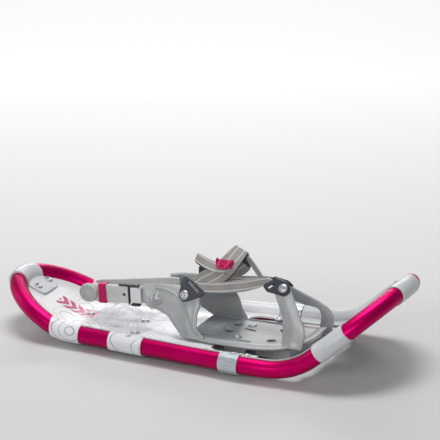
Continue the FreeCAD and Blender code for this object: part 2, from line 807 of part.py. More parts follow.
def build_heel_strap():
    """Elastic heel strap, its free end with a round grip, the keeper and the ladder buckle."""
    half = size("strap_half_width")
    thick = size("strap_thickness")
    gap = size("layer_gap")
    pivot_hole = Part.makeCylinder(size("rivet_radius") + size("strap_play"), 4 * half,
                                   Vector(size("arm_pivot_x"), -2 * half, size("arm_pivot_z")), Y_AXIS)
    drooped("heel_strap", Part.Solid(strap_band()).cut(pivot_hole))

    outer_y = -half - gap - thick
    tail = clip_box((size("grip_x"), outer_y, strap_low),
                    (size("strap_tail_start"), outer_y + thick, strap_high))
    grip_centre = Vector(size("grip_x"), outer_y + thick, size("arm_pivot_z"))
    grip = Part.makeCylinder(size("grip_radius"), size("grip_thickness"), grip_centre, Y_AXIS * -1)
    drooped("heel_strap_end", fuse_all([tail, grip]))

    rear, front, wall = size("keeper_rear"), size("keeper_front"), size("keeper_wall")
    inner_y = -half + thick + size("keeper_inner_room")
    hole = clip_box((rear - 1, outer_y - gap, strap_low - gap), (front + 1, inner_y, strap_high + gap))
    body = clip_box((rear, outer_y - gap - wall, strap_low - gap - wall),
                    (front, inner_y + wall, strap_high + gap + wall))
    drooped("strap_keeper", body.cut(hole))

    rear, front = size("buckle_rear"), size("buckle_front")
    face_y = outer_y - size("buckle_depth")
    bottom, top = strap_low - size("buckle_rail"), strap_high + size("buckle_rail")
    cross_front = size("cross_bar_front")
    top_rail = clip_box((rear, face_y, strap_high + gap), (front, -half, top))
    low_rail = clip_box((rear, face_y, bottom), (front, -half, strap_low - gap))
    cross_bar = clip_box((size("strap_tail_start") + gap, face_y, bottom), (cross_front, -half - gap, top))
    drooped("heel_buckle", fuse_all([top_rail, low_rail, cross_bar]))

    plate = clip_box((cross_front + gap, outer_y, strap_low + 0.5),
                     (size("buckle_plate_front"), -half - gap, strap_high - 0.5))
    drooped("buckle_plate", plate)


build_heel_strap()


# ---------------------------------------------------------------- webbing and centre buckle

def flat_section(centre, across_dir, facing, wide, thick):
    """Rectangle for a strap section: wide along one direction, thick along the other."""
    side = Vector(across_dir).normalize()
    normal = side.cross(Vector(facing).cross(side)).normalize()
    centre = Vector(centre)
    corners = [centre + side * (a * wide / 2) + normal * (b * thick / 2)
               for a, b in ((-1, -1), (1, -1), (1, 1), (-1, 1))]
    return Part.makePolygon(corners + corners[:1])


def strap(label, width, stations):
    """Flat strap through stations: centre, width direction, facing direction and share of the full width."""
    sections = [flat_section(centre, across_dir, facing, size(width) * share, size("webbing_thickness"))
                for centre, across_dir, facing, share in stations]
    return shape_feature(label, Part.makeLoft(sections, True, True))


def build_webbing():
    strap("side_strap_right", "webbing_width",
          [((8, -31, 83), (-0.3, 0.25, 1), (0, -1, 0.3), 1),
           ((30, -27, 87), (0, 0.3, 1), (0, -1, 0.3), 1),
           ((56, -23.5, 91), (0, 0.3, 1), (0, -1, 0.3), 1),
           ((80, -20, 94), (-0.3, 0.2, 1), (0, -1, 0.3), 1)])
    strap("side_strap_left", "webbing_width",
          [((11, 33.2, 75), (-0.2, -0.25, 1), (0, 1, 0.3), 1),
           ((30, 31.6, 77), (0, -0.3, 1), (0, 1, 0.3), 1),
           ((54, 27.6, 81), (0, -0.3, 1), (0, 1, 0.3), 1),
           ((74, 23.5, 86), (-0.2, -0.2, 1), (0, 1, 0.3), 1)])
    strap("instep_strap", "instep_webbing_width",
          [((-6, -33, 82), (14, -5, -12), (-0.6, -1, 0.3), 0.7),
           ((10, -29, 97), (16, -2, -6), (-0.3, -1, 0.6), 0.9),
           ((28, -16, 108), (1, 0, 0), (0, -0.6, 1), 1),
           ((34, 6, 118), (1, 0, 0), (0, -0.35, 1), 1),
           ((36, 24, 121), (1, 0, 0), (0, 0.2, 1), 1),
           ((35, 33, 112), (1, 0, 0), (0, 1, 0.3), 1),
           ((22, 35, 97), (16, 2, -6), (-0.1, 1, 0.3), 0.9),
           ((-4, 33, 83), (14, 5, -12), (-0.6, 1, 0.3), 0.7)])
    strap("strap_tail", "webbing_width",
          [((17.4, -15.6, 113.1), (0, 0.88, 0.47), (0, -0.47, 0.88), 1),
           ((6, -18, 113), (0.1, 0.88, 0.47), (-0.2, -0.47, 0.88), 1),
           ((-8, -19, 118), (0.2, 0.88, 0.47), (-0.6, -0.47, 0.88), 1)])


def build_quick_pull():
    """Centre buckle: a frame round the strap and a cam lever that lifts to let it slide."""
    place = Placement(Vector(size("quick_pull_x"), size("quick_pull_y"), size("quick_pull_z")),
                      Rotation(X_AXIS, size("quick_pull_tilt")))
    opening, length, ear = size("webbing_width"), size("quick_pull_length"), size("quick_pull_ear")
    plate, pin_height = size("quick_pull_plate"), size("lever_axis_height")
    wide = opening + 6
    frame = Part.makeBox(wide, length, plate, Vector(-wide / 2, -length / 2, 0))
    window = Part.makeBox(opening, 4, 4, Vector(-opening / 2, -2, -0.5))
    ears = [Part.makeBox(ear, 7, 6, Vector(x, -3.5, plate)) for x in (-wide / 2, wide / 2 - ear)]
    pin_hole = Part.makeCylinder(size("lever_pin_radius") + 0.05, wide + 2,
                                 Vector(-wide / 2 - 1, 0, pin_height), X_AXIS)
    body = fuse_all([frame.cut(window)] + ears).cut(pin_hole)
    body.Placement = place
    shape_feature("quick_pull_frame", body)

    pin = Part.makeCylinder(size("lever_pin_radius"), wide, Vector(-wide / 2, 0, pin_height), X_AXIS)
    lever_wide = wide - 2 * ear - 0.8
    cam = Part.makeCylinder(size("lever_cam_radius"), lever_wide,
                            Vector(-lever_wide / 2, 0, pin_height), X_AXIS)
    blade = Part.makeBox(lever_wide, size("lever_length"), 2.2,
                         Vector(-lever_wide / 2, -size("lever_length"), pin_height - 0.4))
    lever = fuse_all([pin, cam, blade])
    lever.Placement = place
    shape_feature("quick_pull_lever", lever)


build_webbing()
build_quick_pull()


# ---------------------------------------------------------------- rivets

def heads_through(places, depth):
    return [(Vector(*point), Vector(*direction).normalize(), depth) for point, direction in places]


UP = (0, 0, 1)
deck_top = size("tube_height") + size("deck_thickness") / 2


def wing_head(side, foot, lean, x, along):
    """Head point and direction of a rivet that holds a loop to a leaning wing."""
    outward = size("wing_thickness") + size("loop_play") + size("loop_thickness")
    place = leaning(side, foot, lean)
    head = place.multVec(Vector(x, side * outward, along))
    return tuple(head), tuple(place.Rotation.multVec(Vector(0, side, 0)))


def build_deck_rivets():
    slope = radians("tail_angle")
    tail_up = Vector(math.sin(slope), 0, math.cos(slope))
    tail_x = size("tail_rivet_x")
    head = Vector(tail_x, 0, deck_level(tail_x) + 0.1) + tail_up * size("tongue_thickness")
    rivet_group("tail_clip_rivets", heads_through(
        [((head.x, size("tongue_shift") + side * size("tail_rivet_y"), head.z), tail_up)
         for side in (-1, 1)], 6.0))
    apex_x = size("heel_apex_x") + 4
    reach = size("heel_arm_length") - 10
    arm_x = size("heel_apex_x") + reach * math.cos(radians("heel_arm_angle"))
    arm_y = reach * math.sin(radians("heel_arm_angle"))
    rivet_group("heel_crampon_rivets", heads_through(
        [((apex_x, 0, deck_level(apex_x)), UP),
         ((arm_x, -arm_y, deck_top), UP),
         ((arm_x, arm_y, deck_top), UP),
         ((size("heel_bolt_x"), 0, deck_top), UP)], 4.0))
    rivet_group("clamp_rivets", heads_through(
        [((size("pivot_x") + dx, side * size("clamp_rivet_y"), deck_top), UP)
         for dx in (-8.5, 8.5) for side in (-1, 1)], 3.0))


def build_binding_rivets():
    rivet_group("crampon_rivets", heads_through(
        [((x, y, size("base_top")), UP) for x in (48, 112) for y in (-24, 24)], 5.5))
    foot, lean = size("instep_foot_y"), size("instep_lean")
    rivet_group("instep_loop_rivets", heads_through(
        [wing_head(side, foot, lean, size("instep_rivet_x"), size("instep_rivet_along"))
         for name, side in SIDES], 7.5), head="Sizes.loop_rivet_head")
    rise = (size("arm_pivot_z") - size("base_top")) / math.cos(math.radians(lean))
    y_out = foot - rise * math.sin(math.radians(lean)) + size("wing_thickness") / math.cos(math.radians(lean))
    rivet_group("heel_rivets", heads_through(
        [((size("arm_pivot_x"), side * (y_out + 0.8), size("arm_pivot_z")), (0, side, 0))
         for name, side in SIDES], 14.0))
    foot, lean = size("toe_foot_y"), size("toe_lean")
    rivet_group("toe_loop_rivets", heads_through(
        [wing_head(side, foot, lean, size("toe_rivet_x_" + name), size("toe_rivet_along"))
         for name, side in SIDES], 7.5))


build_deck_rivets()
build_binding_rivets()

FASTENED = {
    "tail_clip_rivets": ("main_deck", "tail_clip"),
    "heel_crampon_rivets": ("main_deck", "heel_crampon"),
    "clamp_rivets": ("front_deck", "pivot_clamp_left", "pivot_clamp_right"),
    "crampon_rivets": ("binding_base", "toe_crampon"),
    "instep_loop_rivets": ("instep_loop_left", "instep_loop_right", "instep_wing_left", "instep_wing_right"),
    "toe_loop_rivets": ("toe_loop_left", "toe_loop_right", "toe_wing_left", "toe_wing_right"),
    "heel_rivets": ("instep_wing_left", "instep_wing_right"),
}
for group, pieces in FASTENED.items():
    for piece in pieces:
        drill(piece, group)


# ---------------------------------------------------------------- checks and output

doc.recompute()
for item in doc.Objects:
    if "Invalid" in item.State or "Error" in item.State:
        raise RuntimeError("%s failed: %s" % (item.Label, item.State))
os.makedirs("parts", exist_ok=True)
for label, feature in nodes.items():
    shape = feature.Shape
    if shape.isNull() or not shape.isValid() or not shape.Solids:
        raise RuntimeError("%s has no valid solid" % label)
    print("%-22s %2d solids %9.0f mm3" % (label, len(shape.Solids), shape.Volume))
    shape.exportStep("parts/%s.step" % label)
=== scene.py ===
"""The looks of the snowshoe.

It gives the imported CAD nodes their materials, and replaces the soft and moulded ones with detailed pieces.
"""

import math

import bpy
from mathutils import Matrix, Vector


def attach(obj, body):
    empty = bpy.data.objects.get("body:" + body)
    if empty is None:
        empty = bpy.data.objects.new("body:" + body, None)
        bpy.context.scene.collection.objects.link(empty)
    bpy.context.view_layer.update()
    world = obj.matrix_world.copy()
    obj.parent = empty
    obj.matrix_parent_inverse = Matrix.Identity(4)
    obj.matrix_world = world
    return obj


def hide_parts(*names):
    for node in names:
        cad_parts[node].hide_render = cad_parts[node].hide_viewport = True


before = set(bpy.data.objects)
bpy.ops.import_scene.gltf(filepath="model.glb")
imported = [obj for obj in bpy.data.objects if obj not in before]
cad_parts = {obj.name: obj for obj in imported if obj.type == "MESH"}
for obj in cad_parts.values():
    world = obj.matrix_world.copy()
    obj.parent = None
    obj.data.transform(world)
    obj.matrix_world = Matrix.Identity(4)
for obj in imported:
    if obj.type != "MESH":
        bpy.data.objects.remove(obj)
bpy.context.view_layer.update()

# The wearer's right side is nearer the camera, at -y.
NEAR, FAR = -1, 1
MM = 0.001

# Directions that no bead or head runs along, from which their cross sections are turned.
BEAD_REFERENCE = Vector((0.13, 0.27, 0.95))
HEAD_REFERENCE = Vector((0.21, 0.34, 0.92))

# Where the heel strap hangs on the instep wings, in mm.
HEEL_PIVOT = Vector((-56.8, 0, 63.5))


# ---- camera, floor and light ---------------------------------------------------------------------


def add_camera():
    """The photograph's viewing angle, fitted."""
    data = bpy.data.cameras.new("camera")
    data.sensor_width = 36
    data.lens = 325.9
    data.clip_start = 0.1
    data.clip_end = 60
    camera = bpy.data.objects.new("camera", data)
    camera.location = (1.8711, -4.2965, 1.6151)
    camera.rotation_euler = (math.radians(90 - 17.226), 0, math.radians(23.372))
    bpy.context.scene.collection.objects.link(camera)
    bpy.context.scene.camera = camera


def add_area_light(name, place, target, size, power):
    data = bpy.data.lights.new(name, "AREA")
    data.shape = "RECTANGLE"
    data.size, data.size_y = size
    data.energy = power
    light = bpy.data.objects.new(name, data)
    light.location = place
    light.rotation_euler = (Vector(target) - Vector(place)).to_track_quat("-Z", "Y").to_euler()
    bpy.context.scene.collection.objects.link(light)


add_camera()
add_area_light("front", (0.4, -2.3, 1.05), (0, 0, 0.03), (2.6, 0.32), 27)
add_area_light("overhead", (-0.15, 0.25, 2.4), (0, 0.05, 0), (1.2, 0.9), 37)
add_area_light("backdrop", (-1.6, 3.7, 1.9), (-0.7, 1.7, 0), (2.5, 0.8), 46)
add_area_light("left", (-2.3, -0.4, 0.9), (0, 0, 0.05), (0.6, 1.2), 6)

world = bpy.data.worlds.new("studio")
world.use_nodes = True
world.node_tree.nodes["Background"].inputs["Color"].default_value = (1.0, 1.0, 1.0, 1.0)
world.node_tree.nodes["Background"].inputs["Strength"].default_value = 0.28
bpy.context.scene.world = world
bpy.context.scene.view_settings.view_transform = "Standard"


# ---- materials -----------------------------------------------------------------------------------


class Surface:
    """One procedural material. The fixed values are set on the shader's own sockets."""

    def __init__(self, name, fixed):
        self.made = bpy.data.materials.new(name)
        self.made.use_nodes = True
        self.tree = self.made.node_tree
        self.shader = self.tree.nodes["Principled BSDF"]
        for socket, value in fixed.items():
            self.shader.inputs[socket].default_value = value
        self.place = self.tree.nodes.new("ShaderNodeTexCoord").outputs["Object"]

    def set(self, socket, value):
        """Links a socket's value, or sets a plain one."""
        if isinstance(value, bpy.types.NodeSocket):
            self.tree.links.new(value, socket)
        else:
            socket.default_value = value

    def node(self, kind, values, output=0, **settings):
        """A new node's output, with its inputs linked or set and its settings made."""
        made = self.tree.nodes.new("ShaderNode" + kind)
        for name, value in settings.items():
            setattr(made, name, value)
        for name, value in values.items():
            self.set(made.inputs[name], value)
        return made.outputs[output]

    def calc(self, operation, a, b=0.0):
        return self.node("Math", {0: a, 1: b}, operation=operation)

    def remap(self, value, low, high, to_low=0.0, to_high=1.0, smooth=False):
        return self.node(
            "MapRange",
            {"Value": value, "From Min": low, "From Max": high, "To Min": to_low, "To Max": to_high},
            interpolation_type="SMOOTHSTEP" if smooth else "LINEAR",
        )

    def axes(self, place=None):
        """The x, y and z of a place, or of the piece's own points."""
        apart = self.tree.nodes.new("ShaderNodeSeparateXYZ")
        self.set(apart.inputs[0], place or self.place)
        return tuple(apart.outputs)

    def scaled(self, factors):
        return self.node("Mapping", {"Vector": self.place, "Scale": factors})

    def noise(self, scale, detail=3.0, where=None, roughness=0.5):
        where = where or self.place
        values = {"Vector": where, "Scale": scale, "Detail": detail, "Roughness": roughness}
        return self.node("TexNoise", values)

    def blend(self, amount, low, high):
        """A colour between two, each a link or three numbers."""
        made = self.tree.nodes.new("ShaderNodeMix")
        made.data_type = "RGBA"
        self.set(made.inputs[0], amount)
        for socket, colour in ((made.inputs[6], low), (made.inputs[7], high)):
            self.set(socket, colour if isinstance(colour, bpy.types.NodeSocket) else (*colour, 1.0))
        return made.outputs[2]

    def finish(self, colour, roughness, bumps):
        """bumps are (height, strength, distance in metres), the broadest first."""
        self.set(self.shader.inputs["Base Color"], colour)
        self.set(self.shader.inputs["Roughness"], roughness)
        normal = None
        for height, strength, distance in bumps:
            values = {"Height": height, "Strength": strength, "Distance": distance}
            if normal:
                values["Normal"] = normal
            normal = self.node("Bump", values)
        if normal:
            self.set(self.shader.inputs["Normal"], normal)
        return self.made


def moulded(name, low, high, roughness, grain=900, fixed=None, depth=0.00012, painted_low_shade=0.0):
    """A moulded plastic or rubber: faint cloudy colour, a fine mould grain and a few rubbed spots.

    Its last argument is the strength of a painted shade that darkens it towards the bottom.
    """
    s = Surface(name, {"Specular IOR Level": 0.5, **(fixed or {})})
    cloud = s.noise(22, 4)
    rubbed = s.remap(s.noise(70, 6, roughness=0.7), 0.62, 0.75)
    colour = s.blend(s.remap(cloud, 0.35, 0.65), low, high)
    colour = s.blend(s.calc("MULTIPLY", rubbed, 0.35), colour, [min(1, c * 1.35 + 0.02) for c in high])
    # Painted shade: the colour darkens towards the bottom, where less light reaches.
    if painted_low_shade:
        up = s.axes()[2]
        height = s.calc("ADD", up, s.remap(s.noise(60, 5), 0.3, 0.7, -0.006, 0.006))
        painted_shade_share = s.remap(height, 0.022, 0.085, painted_low_shade, 0.0)
        colour = s.blend(painted_shade_share, colour, [c * 0.35 for c in low])
    rough = s.remap(s.noise(45, 3), 0.3, 0.7, roughness - 0.06, roughness + 0.08)
    return s.finish(colour, rough, [(s.noise(130, 2), 0.15, 0.0004), (s.noise(grain, 3), 0.35, depth)])


def anodised(name, low, high):
    """Dyed, satin aluminium: drawing lines along the tube, small dulled patches and a few bright nicks."""
    coat = {"Coat Weight": 0.06, "Coat Roughness": 0.25}
    s = Surface(name, {"Metallic": 1.0, "Specular IOR Level": 0.5, **coat})
    cloud = s.noise(14, 3)
    lines = s.noise(55, 4, s.scaled((0.5, 14, 14)))
    nicks = s.remap(s.noise(240, 5, roughness=0.8), 0.74, 0.78)
    colour = s.blend(s.remap(cloud, 0.35, 0.65), low, high)
    colour = s.blend(s.calc("MULTIPLY", nicks, 0.5), colour, (0.95, 0.45, 0.62))
    rough = s.calc("ADD", s.remap(lines, 0.3, 0.7, 0.39, 0.46), s.remap(s.noise(30), 0.4, 0.7, 0.0, 0.05))
    return s.finish(colour, rough, [(lines, 0.06, 0.0001), (s.noise(1800, 2), 0.12, 0.00004)])


def bare_metal(name, tone, roughness, stretch=(3, 40, 40), metallic=1.0):
    """Steel or plated sheet: a brushed grain, cloudy gloss and fine scuffs."""
    s = Surface(name, {"Metallic": metallic, "Specular IOR Level": 0.5})
    grain = s.noise(30, 5, s.scaled(stretch))
    scuffs = s.remap(s.noise(160, 6, s.scaled((1, 3, 1)), 0.75), 0.66, 0.74)
    dull = [c * 0.72 for c in tone]
    colour = s.blend(s.remap(grain, 0.3, 0.7), dull, tone)
    colour = s.blend(s.calc("MULTIPLY", scuffs, 0.4), colour, (0.9, 0.9, 0.92))
    rough = s.remap(grain, 0.3, 0.7, roughness - 0.05, roughness + 0.08)
    return s.finish(colour, rough, [(grain, 0.12, 0.0001), (s.noise(700), 0.1, 0.00005)])


# The row of chevrons on the deck, in metres. Its middle is given as what is added to x and y.
CHEVRON_MIDDLE = (0.179, 0.002)
CHEVRON_PITCH = 0.011
CHEVRON_LEAN = 0.8
CHEVRON_HALF_WIDTH = 0.0115
CHEVRON_HALF_ROW = 0.026


def printed_deck(name):
    """White sheet printed with thin contour lines and hatching behind the foot, and chevrons at the tail."""
    s = Surface(name, {"Specular IOR Level": 0.45, "Coat Weight": 0.15, "Coat Roughness": 0.3})
    along, across = s.axes()[:2]

    swirl = s.noise(9.0, 2.0)
    rings = s.calc("PINGPONG", s.calc("MULTIPLY", swirl, 20.0), 0.5)
    contours = s.remap(rings, 0.03, 0.085, 1.0, 0.0)
    hatch = s.calc("PINGPONG", s.calc("MULTIPLY", s.noise(34, 6, roughness=0.7), 16.0), 0.5)
    hatched = s.remap(hatch, 0.10, 0.24, 1.0, 0.0)
    behind_foot = s.calc(
        "MULTIPLY",
        s.remap(along, -0.215, -0.175, smooth=True),
        s.remap(along, -0.035, -0.065, smooth=True),
    )
    patch = s.node("VectorMath", {0: s.place, 1: (-0.118, -0.008, 0.018)}, output=1, operation="DISTANCE")
    patch = s.calc("ADD", patch, s.remap(s.noise(30, 4), 0.3, 0.7, -0.022, 0.022))
    dense = s.remap(patch, 0.070, 0.034, smooth=True)
    ink = s.calc("MAXIMUM", s.calc("MULTIPLY", contours, 0.65), s.calc("MULTIPLY", hatched, dense))
    ink = s.calc("MULTIPLY", ink, behind_foot)
    mottle = s.remap(s.noise(55, 5), 0.35, 0.65, 0.35, 0.95)
    haze = s.calc("MULTIPLY", s.calc("MULTIPLY", dense, behind_foot), mottle)

    aside = s.calc("ABSOLUTE", s.calc("ADD", across, CHEVRON_MIDDLE[1]))
    from_middle = s.calc("ABSOLUTE", s.calc("ADD", along, CHEVRON_MIDDLE[0]))
    lean = s.calc("ADD", along, s.calc("MULTIPLY", aside, CHEVRON_LEAN))
    beat = s.calc("PINGPONG", s.calc("DIVIDE", s.calc("ADD", lean, 0.2), CHEVRON_PITCH), 0.5)
    marks = s.remap(beat, 0.15, 0.18)
    marks = s.calc("MULTIPLY", marks, s.calc("LESS_THAN", aside, CHEVRON_HALF_WIDTH))
    marks = s.calc("MULTIPLY", marks, s.calc("LESS_THAN", from_middle, CHEVRON_HALF_ROW))

    white = s.blend(s.remap(s.noise(12, 3), 0.35, 0.65), (0.63, 0.64, 0.67), (0.71, 0.715, 0.735))
    colour = s.blend(haze, white, (0.17, 0.175, 0.21))
    colour = s.blend(s.calc("MULTIPLY", ink, 0.95), colour, (0.08, 0.085, 0.12))
    colour = s.blend(marks, colour, (0.40, 0.001, 0.085))
    rough = s.remap(s.noise(60, 4), 0.3, 0.7, 0.30, 0.42)
    return s.finish(colour, rough, [(s.noise(25, 2), 0.12, 0.0008), (s.noise(1100, 2), 0.12, 0.00006)])


def webbing(name, ground, stripe, pitch=0.0014):
    """Flat polyester webbing: a ribbed weave, two pale stripes and a soft sheen, laid out by the lay UVs."""
    s = Surface(name, {"Specular IOR Level": 0.25, "Sheen Weight": 0.35, "Sheen Roughness": 0.45})
    run, across = s.axes(s.node("UVMap", {}, uv_map="lay"))[:2]
    weft = s.calc("PINGPONG", s.calc("DIVIDE", run, pitch), 0.5)
    row = s.calc("FLOOR", s.calc("DIVIDE", run, pitch))
    shifted = s.calc("ADD", s.calc("DIVIDE", across, pitch * 0.8), row)
    warp = s.calc("PINGPONG", shifted, 0.5)
    weave = s.calc("MULTIPLY", s.calc("MULTIPLY", weft, warp), 4.0)
    side = s.calc("ABSOLUTE", across)
    pale = s.calc("MULTIPLY", s.remap(side, 0.0036, 0.0040), s.remap(side, 0.0054, 0.0050))
    colour = s.blend(s.remap(s.noise(90, 4), 0.35, 0.65), [c * 0.86 for c in ground], ground)
    colour = s.blend(pale, colour, stripe)
    # Painted shade: the gaps between the threads, where the weave is low, are darkened.
    colour = s.blend(s.remap(weave, 0.0, 0.55, 0.42, 0.0), colour, [c * 0.35 for c in ground])
    fuzz = s.noise(2600, 2)
    return s.finish(colour, s.remap(weave, 0, 1, 0.86, 0.7), [(weave, 0.75, 0.0004), (fuzz, 0.3, 0.0001)])


def floor_material():
    """A pale floor with a painted light gradient: it whitens away from the camera, along the camera's own
    direction on the ground.
    """
    s = Surface("floor", {"Specular IOR Level": 0.2})
    x, y = s.axes()[:2]
    # Painted light: the colour brightens with distance from the camera, as if more light fell further back.
    depth = s.calc("ADD", s.calc("MULTIPLY", y, 0.92), s.calc("MULTIPLY", x, -0.4))
    tone = s.calc("POWER", s.remap(depth, -0.4, 1.25), 2.0)
    colour = s.blend(tone, (0.56, 0.56, 0.56), (1.0, 1.0, 1.0))
    return s.finish(colour, 0.7, [(s.noise(400), 0.02, 0.0001)])


MAGENTA = anodised("magenta_anodised", (0.50, 0.0, 0.10), (0.60, 0.0, 0.125))
DECK = printed_deck("printed_white_deck")
GREY_DECK = moulded(
    "light_grey_deck", (0.48, 0.495, 0.515), (0.56, 0.575, 0.595), 0.4, fixed={"Coat Weight": 0.1}
)
# The grey moulding has painted shade, darker towards the bottom.
GREY = moulded(
    "grey_moulding", (0.34, 0.355, 0.365), (0.46, 0.475, 0.485), 0.36, fixed={"Coat Weight": 0.15}, painted_low_shade=0.42
)
BASE_GREY = moulded("dark_grey_base", (0.18, 0.19, 0.20), (0.26, 0.275, 0.285), 0.40, grain=700, depth=0.0002)
PALE_GREY = moulded(
    "pale_grey_strap", (0.52, 0.52, 0.505), (0.61, 0.60, 0.58), 0.36, fixed={"Coat Weight": 0.2}
)
RUBBER = moulded("grip_rubber", (0.40, 0.41, 0.41), (0.48, 0.49, 0.49), 0.55, grain=600)
NAVY = moulded("navy_plastic", (0.020, 0.025, 0.038), (0.032, 0.038, 0.055), 0.36)
PINK = moulded(
    "magenta_plastic", (0.42, 0.001, 0.085), (0.52, 0.002, 0.11), 0.46, fixed={"Specular IOR Level": 0.28}
)
SILVER = bare_metal("silver_sheet", (0.62, 0.67, 0.73), 0.36, metallic=0.75)
STEEL = bare_metal("crampon_steel", (0.50, 0.51, 0.53), 0.34)
RIVET = bare_metal("rivet_metal", (0.52, 0.52, 0.54), 0.42, stretch=(30, 30, 30))
PLATE = bare_metal("bright_plate", (0.90, 0.91, 0.93), 0.14, stretch=(2, 60, 60), metallic=0.7)
WEBBING = webbing("striped_webbing", (0.40, 0.385, 0.37), (0.74, 0.72, 0.70))
# Painted shade: a near-black webbing, laid under the straps where their undersides fall in shade.
UNDERSIDE_SHADE_WEBBING = webbing("underside_shade_webbing", (0.035, 0.045, 0.04), (0.07, 0.08, 0.075))

CAD_LOOKS = {
    "frame_tube": MAGENTA,
    "frame_splice": STEEL,
    "main_deck": DECK,
    "front_deck": GREY_DECK,
    "tail_clip": GREY_DECK,
    "pivot_clamp_left": SILVER,
    "pivot_clamp_right": SILVER,
    "pivot_rod": STEEL,
    "heel_crampon": STEEL,
    "tail_clip_rivets": RIVET,
    "heel_crampon_rivets": RIVET,
    "clamp_rivets": RIVET,
    "binding_base": GREY,
    "toe_crampon": STEEL,
    "pivot_bush_left": NAVY,
    "pivot_bush_right": NAVY,
    "instep_wing_left": GREY,
    "instep_wing_right": GREY,
    "toe_wing_left": GREY,
    "toe_wing_right": GREY,
    "instep_loop_left": NAVY,
    "instep_loop_right": NAVY,
    "toe_loop_left": NAVY,
    "toe_loop_right": NAVY,
    "side_strap_left": WEBBING,
    "side_strap_right": WEBBING,
    "instep_strap": WEBBING,
    "strap_tail": WEBBING,
    "quick_pull_frame": PINK,
    "quick_pull_lever": PINK,
    "crampon_rivets": RIVET,
    "instep_loop_rivets": RIVET,
    "toe_loop_rivets": RIVET,
    "heel_rivets": RIVET,
    "heel_strap": PALE_GREY,
    "heel_strap_end": PALE_GREY,
    "strap_keeper": PINK,
    "heel_buckle": NAVY,
    "buckle_plate": PLATE,
}

for node_name, look in CAD_LOOKS.items():
    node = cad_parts[node_name]
    node.data.materials.clear()
    node.data.materials.append(look)


# ---- mesh helpers --------------------------------------------------------------------------------


def mm(point):
    """A point given in mm, in metres."""
    return Vector(point) * MM


class Curve:
    """A smooth curve through the given points, read by its share from 0 to 1, a point per equal step."""

    def __init__(self, points):
        self.points = [Vector(p) for p in points]

    def at(self, share):
        last = len(self.points) - 1
        place = min(max(share, 0.0), 1.0) * last
        k = min(int(place), last - 1)
        t = place - k
        b, c = self.points[k], self.points[k + 1]
        a = self.points[k - 1] if k > 0 else b * 2 - c
        d = self.points[k + 2] if k + 2 <= last else c * 2 - b
        square = (2 * a - 5 * b + 4 * c - d) * t**2
        cube = (3 * b - a - 3 * c + d) * t**3
        return 0.5 * (2 * b + (c - a) * t + square + cube)


def finished(name, mesh, material, body, replaces=(), bevel=0.0):
    """The mesh as a smooth piece on a body, with its material and any bevel in mm."""
    piece = bpy.data.objects.new(name, mesh)
    bpy.context.scene.collection.objects.link(piece)
    mesh.materials.append(material)
    for polygon in mesh.polygons:
        polygon.use_smooth = True
    if bevel:
        edge = piece.modifiers.new("edge", "BEVEL")
        edge.width = bevel * MM
        edge.segments = 2
        edge.limit_method = "ANGLE"
        edge.angle_limit = math.radians(40)
    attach(piece, body)
    if replaces:
        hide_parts(*replaces)
    return piece


def shares(count, first):
    """count steps from 0 to 1, with a support step close to each end."""
    inner = [first + (1 - 2 * first) * k / count for k in range(count + 1)]
    return [0.0, *inner, 1.0]


def solid_sheet(grid, thickness, raised=None):
    """A closed mesh round a grid of points: two faces and a rounded rim.

    Its lay UVs hold the metres along and across it. raised is the share of the thickness at a row and column.
    """
    rows, columns = len(grid), len(grid[0])
    raised = raised or (lambda row, column: 1.0)
    vertices, lay = [], []

    def normal(i, j):
        along = grid[min(i + 1, rows - 1)][j] - grid[max(i - 1, 0)][j]
        across = grid[i][min(j + 1, columns - 1)] - grid[i][max(j - 1, 0)]
        return along.cross(across).normalized()

    middle = columns // 2
    run = [0.0]
    for i in range(1, rows):
        run.append(run[-1] + (grid[i][middle] - grid[i - 1][middle]).length)
    for side in (0.5, -0.5):
        for i in range(rows):
            left, right = grid[i][0], grid[i][-1]
            centre = (left + right) / 2
            axis = (right - left).normalized()
            for j in range(columns):
                point = grid[i][j]
                vertices.append(point + normal(i, j) * (side * thickness * raised(i, j)))
                lay.append((run[i], (point - centre).dot(axis)))

    size = rows * columns
    faces = []
    for i in range(rows - 1):
        for j in range(columns - 1):
            a = i * columns + j
            b, c, d = a + 1, a + columns + 1, a + columns
            faces.append((a, b, c, d))
            faces.append((size + d, size + c, size + b, size + a))

    border = [(0, j) for j in range(columns)]
    border += [(i, columns - 1) for i in range(1, rows)]
    border += [(rows - 1, j) for j in range(columns - 2, -1, -1)]
    border += [(i, 0) for i in range(rows - 2, 0, -1)]
    rim = []
    for i, j in border:
        inside = grid[min(max(i, 1), rows - 2)][min(max(j, 1), columns - 2)]
        out = (grid[i][j] - inside).normalized() * (thickness * 0.32)
        rim.append(len(vertices))
        vertices.append(grid[i][j] + out)
        lay.append(lay[i * columns + j])
    count = len(border)
    for k in range(count):
        i, j = border[k]
        p, q = border[(k + 1) % count]
        a, b = i * columns + j, p * columns + q
        m, n = rim[k], rim[(k + 1) % count]
        faces.append((b, a, m, n))
        faces.append((n, m, size + a, size + b))

    mesh = bpy.data.meshes.new("sheet")
    mesh.from_pydata(vertices, [], faces)
    layer = mesh.uv_layers.new(name="lay")
    for loop in mesh.loops:
        layer.data[loop.index].uv = lay[loop.vertex_index]
    mesh.update()
    return mesh


def grid_between(edge_a, edge_b, rows, columns, crown=0.0, support=0.04):
    """Points between two edges in mm. Both have as many points, so that pairs of them face each other."""
    a, b = Curve([mm(p) for p in edge_a]), Curve([mm(p) for p in edge_b])
    grid = []
    for u in shares(rows, 0.012):
        start, end = a.at(u), b.at(u)
        ahead, behind = min(u + 0.02, 1), max(u - 0.02, 0)
        run = a.at(ahead) + b.at(ahead) - a.at(behind) - b.at(behind)
        out = run.cross(end - start).normalized() * (crown * MM)
        grid.append([start.lerp(end, v) + out * (4 * v * (1 - v)) for v in shares(columns, support)])
    return grid


